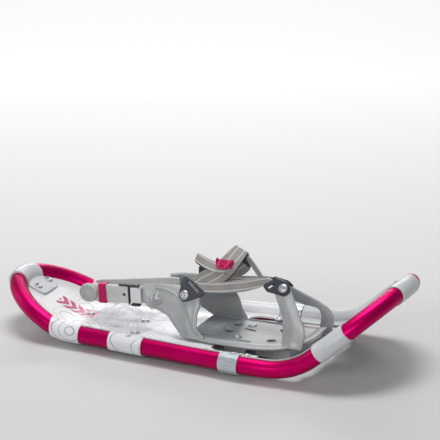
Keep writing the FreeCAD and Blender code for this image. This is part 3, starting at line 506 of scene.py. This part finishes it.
def strip(
    name, edge_a, edge_b, thickness, material, body, replaces=(), rows=28, columns=8, crown=0.0, rim=1.0
):
    """A sheet between two edges, in mm. rim above 1 leaves a thicker border."""
    grid = grid_between(edge_a, edge_b, rows, columns, crown)
    last_row, last_column = len(grid) - 1, len(grid[0]) - 1

    def raised(i, j):
        edge = min(i, j, last_row - i, last_column - j)
        return rim if edge <= 2 else 1.0

    mesh = solid_sheet(grid, thickness * MM, raised)
    return finished(name, mesh, material, body, replaces)


def rounded(corners, steps=6):
    """A closed outline with each corner (x, y, radius) rounded."""
    made = []
    count = len(corners)
    for k in range(count):
        x, y, radius = corners[k]
        here = Vector((x, y))
        before = (Vector(corners[k - 1][:2]) - here).normalized()
        after = (Vector(corners[(k + 1) % count][:2]) - here).normalized()
        half = before.angle(after) / 2
        centre = here + (before + after).normalized() * (radius / math.sin(half))
        start = here + before * (radius / math.tan(half)) - centre
        turn = start.angle_signed(here + after * (radius / math.tan(half)) - centre)
        for step in range(steps + 1):
            spoke = start.copy()
            spoke.rotate(Matrix.Rotation(-turn * step / steps, 2))
            made.append(centre + spoke)
    return made


def box_outline(half_long, half_wide, radius, steps=6):
    """A rectangle about the origin with its corners rounded."""
    signs = ((-1, -1), (1, -1), (1, 1), (-1, 1))
    return rounded([(half_long * x, half_wide * y, radius) for x, y in signs], steps)


def ring(x, y, radius, steps=24):
    """A round outline."""
    angles = [k * math.tau / steps for k in range(steps)]
    return [Vector((x + radius * math.cos(angle), y + radius * math.sin(angle))) for angle in angles]


def plane_at(origin, across, up):
    """The matrix of a drawing plane from a point in mm and the directions of its two axes."""
    x = Vector(across).normalized()
    z = x.cross(Vector(up)).normalized()
    y = z.cross(x)
    turn = Matrix((x, y, z)).transposed().to_4x4()
    return Matrix.Translation(mm(origin)) @ turn


def plate_mesh(outlines, thickness, edge):
    """A flat plate with holes from closed outlines in mm, the outer one first, with rounded edges."""
    drawing = bpy.data.curves.new("plate", "CURVE")
    drawing.dimensions = "2D"
    drawing.fill_mode = "BOTH"
    for outline in outlines:
        spline = drawing.splines.new("POLY")
        spline.points.add(len(outline) - 1)
        for k, point in enumerate(outline):
            spline.points[k].co = (point.x * MM, point.y * MM, 0, 1)
        spline.use_cyclic_u = True
    drawing.extrude = (thickness / 2 - edge) * MM
    drawing.bevel_depth = edge * MM
    drawing.bevel_resolution = 2
    drawing.offset = -edge * MM
    holder = bpy.data.objects.new("plate", drawing)
    bpy.context.scene.collection.objects.link(holder)
    bpy.context.view_layer.update()
    evaluated = holder.evaluated_get(bpy.context.evaluated_depsgraph_get())
    mesh = bpy.data.meshes.new_from_object(evaluated)
    bpy.data.objects.remove(holder)
    return mesh


def plate(name, outlines, thickness, edge, plane, material, body, replaces=()):
    """A plate as a piece, laid on a drawing plane."""
    mesh = plate_mesh(outlines, thickness, edge)
    mesh.transform(plane)
    piece = finished(name, mesh, material, body, replaces)
    sharp = piece.modifiers.new("normals", "WEIGHTED_NORMAL")
    sharp.keep_sharp = True


def tube_mesh(points, radius, sides=10, taper=None):
    """A round bead along points in mm, closed at its ends. taper gives the radius share along it."""
    path = [mm(p) for p in points]
    vertices, faces = [], []
    for i, point in enumerate(path):
        along = (path[min(i + 1, len(path) - 1)] - path[max(i - 1, 0)]).normalized()
        side = along.cross(BEAD_REFERENCE).normalized()
        top = side.cross(along)
        r = radius * MM * (taper(i / (len(path) - 1)) if taper else 1.0)
        for k in range(sides):
            angle = k * math.tau / sides
            vertices.append(point + side * (r * math.cos(angle)) + top * (r * math.sin(angle)))
    for i in range(len(path) - 1):
        for k in range(sides):
            a, b = i * sides + k, i * sides + (k + 1) % sides
            faces.append((a, b, b + sides, a + sides))
    faces.append(tuple(range(sides))[::-1])
    faces.append(tuple(range((len(path) - 1) * sides, len(path) * sides)))
    mesh = bpy.data.meshes.new("bead")
    mesh.from_pydata(vertices, [], faces)
    mesh.update()
    return mesh


def lathe(places, profile, sides=28):
    """One closed head per place (point in mm, direction), turned from a profile of (radius, height) in mm."""
    vertices, faces = [], []
    for point, direction in places:
        up = Vector(direction).normalized()
        side = up.cross(HEAD_REFERENCE if abs(up.z) < 0.9 else Vector((1, 0, 0))).normalized()
        other = up.cross(side)
        first = len(vertices)
        for radius, height in profile:
            for k in range(sides):
                angle = k * math.tau / sides
                spoke = side * (radius * math.cos(angle)) + other * (radius * math.sin(angle))
                vertices.append(mm(Vector(point) + up * height + spoke))
        for ring_number in range(len(profile) - 1):
            for k in range(sides):
                a = first + ring_number * sides + k
                b = first + ring_number * sides + (k + 1) % sides
                faces.append((a, b, b + sides, a + sides))
        faces.append(tuple(range(first, first + sides))[::-1])
        last = first + (len(profile) - 1) * sides
        faces.append(tuple(range(last, last + sides)))
    mesh = bpy.data.meshes.new("heads")
    mesh.from_pydata(vertices, [], faces)
    mesh.update()
    return mesh


def heads(name, places, profile, material, body, replaces=()):
    """Rivet or bolt heads of one kind, as one piece."""
    return finished(name, lathe(places, profile), material, body, replaces, bevel=0.12)


# ---- binding: base -------------------------------------------------------------------------------


# Drain slots in the base: x, y, half length, half width and turn in degrees.
BASE_SLOTS = [(8, -30, 9, 2.2, 8), (52, 8, 8, 2.2, -12), (60, -34, 10, 1.9, 2), (112, 5, 2.2, 7, 0),
              (8, 30, 9, 2.2, -8)]


def rib_taper(share):
    """The share of its radius that a base rib has along its length."""
    return 0.5 + 0.5 * math.sin(math.pi * min(max(share, 0.05), 0.95))


def base_plate():
    """The foot plate: drain holes and slots, ribs fanned towards the heel, and a kerb on each side."""
    corners = [(-14, -46, 6), (40, -48, 60), (98, -46, 22), (127, -34, 22), (140, -10, 24), (143, 22, 20),
               (132, 44, 14), (-14, 47, 6)]
    outline = rounded(corners, steps=8)
    openings = [ring(x, y, 5.3, 28) for x, y in ((30, 22), (30, -5), (92, -20), (92, 22))]
    for x, y, half_long, half_wide, angle in BASE_SLOTS:
        turn = Matrix.Rotation(math.radians(angle), 2)
        slot = box_outline(half_long, half_wide, 1.6, steps=4)
        openings.append([turn @ point + Vector((x, y)) for point in slot])
    level = plane_at((0, 0, 22.25), (1, 0, 0), (0, 1, 0))
    plate("base_plate", [outline, *openings], 3.5, 1.0, level, BASE_GREY, "binding", ["binding_base"])
    for number, angle in enumerate(range(-60, 61, 15)):
        out = Vector((-math.cos(math.radians(angle)), math.sin(math.radians(angle)), 0))
        start = Vector((34, 8, 24.1))
        line = [start + out * reach for reach in (14, 24, 34, 42)]
        line = [point for point in line if point.x > -11 and abs(point.y) < 40]
        if len(line) > 1:
            finished("base_rib_%d" % number, tube_mesh(line, 0.9, 8, rib_taper), BASE_GREY, "binding")
    for number, side in enumerate((NEAR, FAR)):
        edge = [(-11, side * 42, 24.3), (20, side * 43, 24.5), (60, side * 43.5, 24.5), (96, side * 42, 24.5)]
        finished("base_kerb_%d" % number, tube_mesh(edge, 1.1, 8), BASE_GREY, "binding")


base_plate()
strip(
    "base_front_flange",
    [(-6, -43.5, 24.2), (22, -44.5, 24.4), (52, -44, 24.6), (80, -42.5, 25), (104, -36, 26), (122, -22, 28),
     (134, -2, 31), (140, 20, 35)],
    [(-6, -47, 22.6), (22, -52, 22.6), (54, -55, 22.6), (86, -54, 22.8), (113, -45, 23.6), (132, -27, 26),
     (144, -3, 30), (148, 22, 36)],
    2.2, GREY, "binding", rows=52, columns=8, crown=1.2, rim=1.25,
)


# ---- binding: wings ------------------------------------------------------------------------------


def instep_lean(side, z):
    """How far out an instep wing stands at a height: it leans in over the base."""
    return side * (47 - 0.4 * (z - 24))


def instep_wing(side, name):
    """The moulded wing beside the instep: it rises from the base and sweeps back to the heel rivet."""
    rear = [(-12, 22), (-19, 27), (-27.6, 34), (-37, 43), (-45, 47.5), (-55, 50.5), (-64.5, 51.5), (-72, 57)]
    front = [(15, 22), (2, 31.5), (-1, 48), (1, 62), (-5, 76), (-27, 80), (-49, 79.5), (-76.5, 77)]
    if side == FAR:
        rear[-2:] = [(-58, 52.5), (-62, 57)]
        front = [(31, 22), (26, 36), (25, 50), (20, 64), (4, 78), (-20, 81.5), (-44, 80), (-64, 75)]
    rear = [(x, instep_lean(side, z), z) for x, z in rear]
    front = [(x, instep_lean(side, z), z) for x, z in front]
    edges = (front, rear) if side == NEAR else (rear, front)
    strip(name + "_shell", *edges, 2.6, GREY, "binding", [name], rows=36, columns=12, crown=1.6, rim=1.6)


instep_wing(NEAR, "instep_wing_right")
instep_wing(FAR, "instep_wing_left")


def on_wing(side, x, z, out):
    """A point of an instep wing, out mm outside its middle surface."""
    return (x, instep_lean(side, z) + side * out * 0.93, z + out * 0.37)


def up_the_wing(side):
    """The direction up an instep wing's surface."""
    return (0, -side * 0.371, 0.928)


def bead(name, points, radius, material, body, taper=None):
    """A round bead along a smooth curve through the points."""
    line = Curve(points)
    return finished(name, tube_mesh([line.at(k / 40) for k in range(41)], radius, 10, taper), material, body)


def ridge_taper(share):
    """The share of its radius that a wing's ridge has along its length."""
    return 0.35 + 0.65 * math.sin(math.pi * share) ** 0.4


RIDGE = [(-60, 74.5), (-50, 74.5), (-40, 73), (-29.5, 68), (-20, 59.5), (-12.5, 49.5), (-7.5, 40), (-2, 33),
         (5, 27.5)]
FRONT_RIM = {
    NEAR: [(-3.5, 75), (0, 62), (-1.6, 48), (1.5, 33), (13, 24)],
    FAR: [(4, 76.5), (19, 63), (24, 50), (25, 37), (30, 24)],
}
for side, name in ((NEAR, "right"), (FAR, "left")):
    ridge = [on_wing(side, x, z, 2.4) for x, z in RIDGE]
    bead("instep_ridge_" + name, ridge, 1.7, GREY, "binding", ridge_taper)
    front_rim = [on_wing(side, x, z, 1.0) for x, z in FRONT_RIM[side]]
    bead("instep_front_rim_" + name, front_rim, 1.7, GREY, "binding")
    pad_plane = plane_at(on_wing(side, -57, 63, 2.6), (1, 0, 0), up_the_wing(side))
    angles = [k * math.tau / 6 + 0.3 for k in range(6)]
    corners = [(9.6 * math.cos(angle), 9.6 * math.sin(angle), 2.0) for angle in angles]
    plate("heel_rivet_pad_" + name, [rounded(corners)], 2.4, 0.7, pad_plane, GREY, "binding")
    pin = [(HEEL_PIVOT.x, side * reach, HEEL_PIVOT.z) for reach in (22.8, 30.8)]
    bead("heel_pin_" + name, pin, 3.0, RIVET, "binding")


def toe_lean(side, z):
    """How far out a toe wing stands at a height."""
    return side * (34 - 0.33 * (z - 24))


near_rear = [(112, 22), (111.5, 36), (109, 54), (102.5, 69), (95, 83), (92, 91)]
near_front = [(137, 22), (139, 38), (136, 50), (129.5, 62), (122, 75), (113, 91)]
strip(
    "toe_wing_right_shell",
    [(x, toe_lean(NEAR, z), z) for x, z in near_front],
    [(x, toe_lean(NEAR, z), z) for x, z in near_rear],
    2.6, GREY, "binding", ["toe_wing_right"], rows=26, crown=2.2, rim=1.3,
)
strip(
    "toe_wing_left_shell",
    [(131, 43, 22), (134, 39, 35), (137, 34, 46.5), (134, 28.5, 58), (118, 27, 61), (102, 24, 66),
     (90, 19, 76)],
    [(145, 43, 22), (150, 38.5, 36), (152, 33.5, 47), (147, 28, 59), (134, 24, 68), (117, 19, 77),
     (97, 13, 88)],
    2.6, GREY, "binding", ["toe_wing_left"], rows=32, crown=-1.5, rim=1.3,
)


# ---- binding: loops and webbing ------------------------------------------------------------------


def instep_loop(side, name):
    """The navy triangle riveted to the instep wing, with a slot for the webbing."""
    plane = plane_at((-19.3, side * 31.6, 71.5), (1, 0, 0), up_the_wing(side))
    outer = rounded([(-4.5, 25.5, 3.5), (-8.5, -2, 7.5), (0, -9.5, 7.5), (27, 3.5, 3.5), (24, 9, 3)])
    slot = rounded([(0.5, 16.5, 1.2), (3.5, 19, 1.2), (19.5, 6.5, 1.2), (17, 3.2, 1.2)], steps=3)
    plate(name + "_buckle", [outer, slot], 3.4, 0.8, plane, NAVY, "binding", [name])


instep_loop(NEAR, "instep_loop_right")
instep_loop(FAR, "instep_loop_left")

TOE_LOOP_AT = {NEAR: (105.4, -15.2, 91.0), FAR: (95.5, 17.0, 85.8)}


def toe_loop(side, name):
    """The longer navy loop riveted to the toe wing."""
    plane = plane_at(TOE_LOOP_AT[side], (1, 0, -0.12), (0, -side * 0.62, 0.78))
    outer = rounded([(-27, -3, 3), (-13, 11, 3), (3, 9.5, 5), (11, 0, 6), (5, -9, 5), (-19, -8.5, 3)])
    slot = rounded([(-20.5, -3.2, 1), (-13, 5.6, 1), (-10.5, 4.2, 1), (-17, -4.2, 1)], steps=3)
    plate(name + "_buckle", [outer, slot], 3.4, 0.8, plane, NAVY, "binding", [name])


toe_loop(NEAR, "toe_loop_right")
toe_loop(FAR, "toe_loop_left")

strip(
    "side_strap_right_webbing",
    [(-4, -26, 89), (8, -26.5, 89.5), (25, -25.5, 92), (50.6, -22, 97), (70, -18, 100.5), (84, -13, 101.5),
     (91, -11, 98.5)],
    [(-1, -28.5, 78), (10, -28.5, 78.5), (26, -27, 79.5), (51.4, -24, 83), (69, -20, 88), (80, -15, 92),
     (88, -12.5, 93.5)],
    1.6, WEBBING, "binding", ["side_strap_right"], rows=40,
)
strip(
    "side_strap_left_webbing",
    [(3, 30.5, 81), (16, 31, 82.5), (32, 30, 84.5), (52, 26.5, 88), (68, 22.5, 91), (78, 19, 92)],
    [(6, 33.5, 68), (18, 33.5, 69), (33, 32.5, 70.5), (54, 29.5, 74.5), (70, 26, 79), (80, 22, 82)],
    1.6, WEBBING, "binding", ["side_strap_left"], rows=34,
)

strip(
    "instep_strap_webbing",
    [(-17, -23.5, 87.5), (-4, -21, 99), (10, -17, 108), (19, -10, 116), (23, 2, 121.5), (27, 14, 126.5),
     (28, 21, 126), (30, 27, 119), (24, 30, 110), (6, 30, 100), (-16, 24, 86)],
    [(-1, -28, 75), (11, -26, 83), (24, -24, 89.5), (34, -17, 97.5), (40, -4, 108), (44, 15, 119.5),
     (44, 20, 117.5), (43, 27, 108), (42, 31, 97), (32, 33, 86), (8, 31, 74)],
    1.6, WEBBING, "binding", ["instep_strap"], rows=84, columns=10,
)
# Painted shade: a near-black sheet along the underside of the instep strap, over its crest and down its far
# side.
strip(
    "instep_strap_underside_shade",
    [(-4, -19.4, 97.6), (10, -15.4, 106.6), (19, -8.4, 114.4), (23, 3.2, 119.8), (27, 14.4, 124.6),
     (28, 20, 124), (29.6, 25.2, 118), (23.5, 28.2, 109.5)],
    [(11, -24.4, 81.6), (24, -22.4, 88), (34, -15.4, 96), (40, -2.8, 106.2), (44, 14.4, 117.4),
     (44, 18.6, 116), (42.8, 25.2, 107.2), (41.6, 29.4, 97)],
    0.9, UNDERSIDE_SHADE_WEBBING, "binding", rows=56, columns=8,
)
strip(
    "instep_strap_return",
    [(43.5, 19, 117), (50, 20, 110), (57, 21, 100), (63, 22, 91)],
    [(40.5, 22.5, 110), (46, 23.5, 102), (52, 24.5, 93), (58, 25.5, 85)],
    1.3, WEBBING, "binding", rows=24,
)
strip(
    "strap_tail_webbing",
    [(30, -14.5, 115), (15, -15.5, 114.5), (3, -16.5, 118.5), (-8, -17.5, 123.5)],
    [(30, -21, 103), (15, -22.5, 103.5), (1, -23.5, 109), (-9, -24, 115.5)],
    1.6, WEBBING, "binding", ["strap_tail"], rows=24, columns=10,
)
# Painted shade: a near-black sheet along the underside of the strap's tail.
strip(
    "strap_tail_underside_shade",
    [(28, -15.6, 113.6), (15, -16.6, 113.1), (3, -17.8, 117), (-6, -18.6, 121.4)],
    [(28, -21.2, 103), (15, -22.4, 103.2), (1.6, -24, 108), (-7.6, -24.8, 113.8)],
    0.9, UNDERSIDE_SHADE_WEBBING, "binding", rows=20, columns=8,
)


# ---- binding: quick-pull buckle ------------------------------------------------------------------


BUCKLE_FOOT = Vector((28, -15, 112))
BUCKLE_TURN = Matrix.Rotation(math.radians(28), 3, "X")


def buckle_plane(x, y, z, across=(1, 0, 0), up=(0, 1, 0)):
    """A drawing plane on the tilted centre buckle, at a point measured from its foot."""
    origin = BUCKLE_TURN @ Vector((x, y, z)) + BUCKLE_FOOT
    return plane_at(origin, BUCKLE_TURN @ Vector(across), BUCKLE_TURN @ Vector(up))


def buckle_part(name, outlines, thickness, at, body, replaces=(), edge=0.5):
    """A flat part of the centre buckle."""
    plate("quick_pull_" + name, outlines, thickness, edge, buckle_plane(*at), PINK, body, replaces)


frame_out = box_outline(10.5, 6.5, 2, steps=4)
slot_low = rounded([(-7.8, -4.6, 0.8), (7.8, -4.6, 0.8), (7.8, -1.8, 0.8), (-7.8, -1.8, 0.8)], steps=3)
slot_high = rounded([(-7.8, 1.8, 0.8), (7.8, 1.8, 0.8), (7.8, 4.6, 0.8), (-7.8, 4.6, 0.8)], steps=3)
ladder = [frame_out, slot_low, slot_high]
buckle_part("ladder", ladder, 2.4, (0, 0, 1.2), "binding", ["quick_pull_frame"], 0.7)
for number, x in enumerate((-9.7, 9.7)):
    cheek = rounded([(-4, 0, 1), (4, 0, 1), (2.6, 8, 1.6), (-2.6, 8, 1.6)], steps=4)
    plane = buckle_plane(x, 0, 1.5, (0, 1, 0), (0, 0, 1))
    plate("quick_pull_cheek_%d" % number, [cheek], 1.6, 0.5, plane, PINK, "binding")
lever_out = rounded([(-8, 2.6, 1.2), (-8.4, -4, 1.2), (-5.4, -12.6, 2.2), (5.4, -12.6, 2.2), (8.4, -4, 1.2),
                     (8, 2.6, 1.2)], steps=4)
thumb = rounded([(-3.4, -10.4, 0.9), (3.4, -10.4, 0.9), (3.8, -7.6, 0.9), (-3.8, -7.6, 0.9)], steps=3)
buckle_part("tab", [lever_out, thumb], 2.0, (0, 0, 6.2), "lever", ["quick_pull_lever"], 0.6)
for number in range(4):
    grip = box_outline(4.8, 0.5, 0.4, steps=2)
    buckle_part("grip_%d" % number, [grip], 0.9, (0, -5.4 + 1.9 * number, 7.5), "lever", edge=0.3)


# ---- heel strap ----------------------------------------------------------------------------------


STRAP_DROOP = Matrix.Rotation(math.radians(-3.5), 3, "Y")
STRAP_LOW, STRAP_HIGH = 53.0, 74.0


def droop(x, y, z):
    """Turns a point of the level heel strap down about the heel rivets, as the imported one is."""
    return STRAP_DROOP @ (Vector((x, y, z)) - HEEL_PIVOT) + HEEL_PIVOT


def level_band(name, plan, low, high, thickness, replaced, rows, rim):
    """An upright band over a plan line of the level heel strap, drooped into place."""
    upper = [droop(x, y, high) for x, y in plan]
    lower = [droop(x, y, low) for x, y in plan]
    strip(name, upper, lower, thickness, PALE_GREY, "heel_strap_body", [replaced], rows, rim=rim)


strap_plan = [(-49, -20.8), (-70, -21.0), (-92, -23.2), (-115, -24.2), (-137, -24.2), (-145, -22.6),
              (-149, -15), (-145.5, -7), (-137, -4.6), (-121, 0), (-105, 6), (-87, 13), (-70, 18.6),
              (-58, 20.6), (-49, 20.8)]
level_band("heel_strap_band", strap_plan, STRAP_LOW, STRAP_HIGH, 2.4, "heel_strap", rows=70, rim=1.3)
outer_plan = [(-98, -27.4), (-110, -27.5), (-124, -27.5), (-138, -27.6), (-148, -27.8)]
low, high = STRAP_LOW + 0.3, STRAP_HIGH - 0.3
level_band("heel_strap_end_band", outer_plan, low, high, 2.2, "heel_strap_end", rows=24, rim=1.25)


def strap_plane(x, y, z):
    """Drawing plane on the right side of the heel strap, facing the wearer's right."""
    origin = droop(x, y, z)
    along = droop(x + 1, y, z) - origin
    return plane_at(origin, along, (0, 0, 1))


def relief(name, outlines, thickness, edge, at, material, replaces=()):
    """A flat part on the right side of the heel strap."""
    plate(name, outlines, thickness, edge, strap_plane(*at), material, "heel_strap_body", replaces)


MIDDLE = 63.5
GRIP_FACE = (-151, -32.8, MIDDLE)
relief("heel_grip", [ring(0, 0, 12, 48)], 4.6, 1.3, (-151, -30.3, MIDDLE), RUBBER)
relief("heel_grip_rim", [ring(0, 0, 11.2, 48), ring(0, 0, 9.6, 48)], 1.9, 0.5, GRIP_FACE, RUBBER)
relief("heel_grip_inner_ring", [ring(0, 0, 6.2, 36), ring(0, 0, 5.0, 36)], 1.6, 0.45, GRIP_FACE, RUBBER)
for number, angle in enumerate(range(0, 360, 45)):
    spoke = Matrix.Rotation(math.radians(angle), 2)
    bar = [spoke @ Vector(p) for p in ((7.0, -0.5), (9.0, -0.7), (9.0, 0.7), (7.0, 0.5))]
    relief("heel_grip_ray_%d" % number, [bar], 1.5, 0.4, GRIP_FACE, RUBBER)

for number, x in enumerate((-122, -116.5, -111)):
    step = [ring(0, 0, 4.2, 28), ring(0, 0, 3.3, 28)]
    relief("heel_strap_step_%d" % number, step, 0.9, 0.3, (x, -28.6, MIDDLE), PALE_GREY)
EYELET_AT = (-103, -28.6, MIDDLE)
relief("heel_strap_eyelet", [ring(0, 0, 2.6, 24), ring(0, 0, 1.7, 24)], 1.0, 0.35, EYELET_AT, STEEL)
relief("heel_strap_eyelet_well", [ring(0, 0, 1.75, 24)], 0.7, 0.2, EYELET_AT, NAVY)

keeper_out = rounded([(-5.5, -11.8, 1.2), (5.5, -11.8, 1.2), (5.0, 11.8, 1.2), (-5.0, 11.8, 1.2)], steps=4)
relief("keeper_face", [keeper_out], 1.7, 0.6, (-132.5, -29.9, MIDDLE), PINK, ["strap_keeper"])
relief("keeper_back", [keeper_out], 1.6, 0.5, (-132.5, -20.6, MIDDLE), PINK)
for end, z in (("top", MIDDLE + 11.7), ("bottom", MIDDLE - 11.7)):
    cap = box_outline(5.3, 5.2, 0.9, steps=4)
    origin = droop(-132.5, -25.2, z)
    along = droop(-131.5, -25.2, z) - origin
    plate("keeper_" + end, [cap], 1.3, 0.5, plane_at(origin, along, (0, 1, 0)), PINK, "heel_strap_body")

plate_out = rounded([(-7.2, -10.2, 1.0), (7.4, -10.2, 1.0), (7.4, 10.2, 1.0), (-7.2, 10.2, 1.0)], steps=3)
relief("buckle_bright_plate", [plate_out], 2.2, 0.7, (-87.4, -28.2, MIDDLE), PLATE, ["buckle_plate"])
for end, z, start, stop in (("top", 76.2, -14, 14), ("bottom", 50.8, 2, 14)):
    rail = rounded([(start, -1.2, 0.7), (stop, -1.2, 0.7), (stop, 1.2, 0.7), (start, 1.2, 0.7)], steps=3)
    relief("buckle_rail_" + end, [rail], 6.0, 0.8, (-96, -27.5, z), NAVY, ["heel_buckle"])
for number in range(6):
    tooth = box_outline(1.0, 1.0, 0.4, steps=2)
    relief("buckle_rib_%d" % number, [tooth], 1.2, 0.3, (-107.5 + 4.5 * number, -30.9, 76.2), NAVY)
bar = box_outline(0.7, 12.8, 0.4, steps=3)
relief("buckle_cross_bar", [bar], 3.0, 0.4, (-96.6, -28.3, MIDDLE), NAVY)


# ---- rivets --------------------------------------------------------------------------------------

# Directions that heads face: the flat decks, the tail slope, and the lean of the instep wings in degrees.
UP = (0, 0, 1)
TAIL_UP = (0.429, 0, 0.903)
INSTEP_LEAN = 21.8

# Profiles of the heads, as (radius, height) in mm.
TUBULAR = [(5.2, -0.4), (5.3, 0.5), (4.9, 1.2), (4.0, 1.5), (3.0, 1.2), (2.5, 0.5), (2.1, 0.3)]
BOLT = [(5.8, -0.3), (5.8, 0.5), (5.2, 0.9), (4.2, 1.0), (4.2, 2.4), (3.8, 2.8), (2.2, 2.9), (2.0, 1.6)]
DOMED = [(6.3, -0.3), (6.4, 0.5), (5.9, 1.3), (4.8, 2.1), (3.4, 2.6), (2.6, 2.7), (2.3, 2.2), (1.6, 2.1)]
PINNED = [(6.4, -0.3), (6.4, 0.5), (5.7, 0.9), (4.9, 0.7), (4.6, 0.4), (4.1, 0.5), (3.9, 1.1), (2.8, 1.8),
          (1.6, 1.9)]


def lean_out(side, degrees):
    """The outward direction of a wing that leans in by some degrees."""
    lean = math.radians(degrees)
    return (0, side * math.cos(lean), math.sin(lean))


# The far rivets of the heel crampon: its arms open 27.8 degrees to each side of its apex.
arm_x = -166 + 96 * math.cos(math.radians(27.8))
arm_y = 96 * math.sin(math.radians(27.8))
crampon_rivet_places = [((-162, 0, 19.2), UP), ((arm_x, -arm_y, 19.1), UP), ((arm_x, arm_y, 19.1), UP)]
heads("tail_clip_rivet_heads", [((-230.7, y, 49.8), TAIL_UP) for y in (-9.5, 19.5)], TUBULAR, RIVET, "frame",
      ["tail_clip_rivets"])
heads("heel_crampon_rivet_heads", crampon_rivet_places, TUBULAR, RIVET, "frame", ["heel_crampon_rivets"])
heads("heel_bolt_head", [((-87, 0, 19.1), UP)], BOLT, STEEL, "frame")
heads("clamp_rivet_heads", [((72 + dx, side * 72, 19.1), UP) for dx in (-8.5, 8.5) for side in (NEAR, FAR)],
      TUBULAR, RIVET, "frame", ["clamp_rivets"])
heads("crampon_rivet_heads", [((x, y, 24.1), UP) for x in (48, 112) for y in (-24, 24)],
      TUBULAR, RIVET, "binding", ["crampon_rivets"])
instep_heads = [((-19.3, side * 33.1, 72.1), lean_out(side, INSTEP_LEAN)) for side in (NEAR, FAR)]
heads("instep_loop_rivet_heads", instep_heads, DOMED, RIVET, "binding", ["instep_loop_rivets"])
toe_heads = []
for side in (NEAR, FAR):
    on_loop = Vector(TOE_LOOP_AT[side]) + Vector((0, side * 1.3, 1.0))
    toe_heads.append((on_loop, lean_out(side, 38.5)))
heads("toe_loop_rivet_heads", toe_heads, DOMED, RIVET, "binding", ["toe_loop_rivets"])
heel_heads = [(on_wing(side, -57, 63, 3.8), lean_out(side, INSTEP_LEAN)) for side in (NEAR, FAR)]
heads("heel_rivet_heads", heel_heads, PINNED, RIVET, "binding", ["heel_rivets"])


# ---- floor ---------------------------------------------------------------------------------------


def add_floor():
    mesh = bpy.data.meshes.new("floor")
    reach = 14.0
    corners = [(-reach, -reach, 0), (reach, -reach, 0), (reach, reach, 0), (-reach, reach, 0)]
    mesh.from_pydata(corners, [], [(0, 1, 2, 3)])
    floor = bpy.data.objects.new("floor", mesh)
    bpy.context.scene.collection.objects.link(floor)
    mesh.materials.append(floor_material())


add_floor()
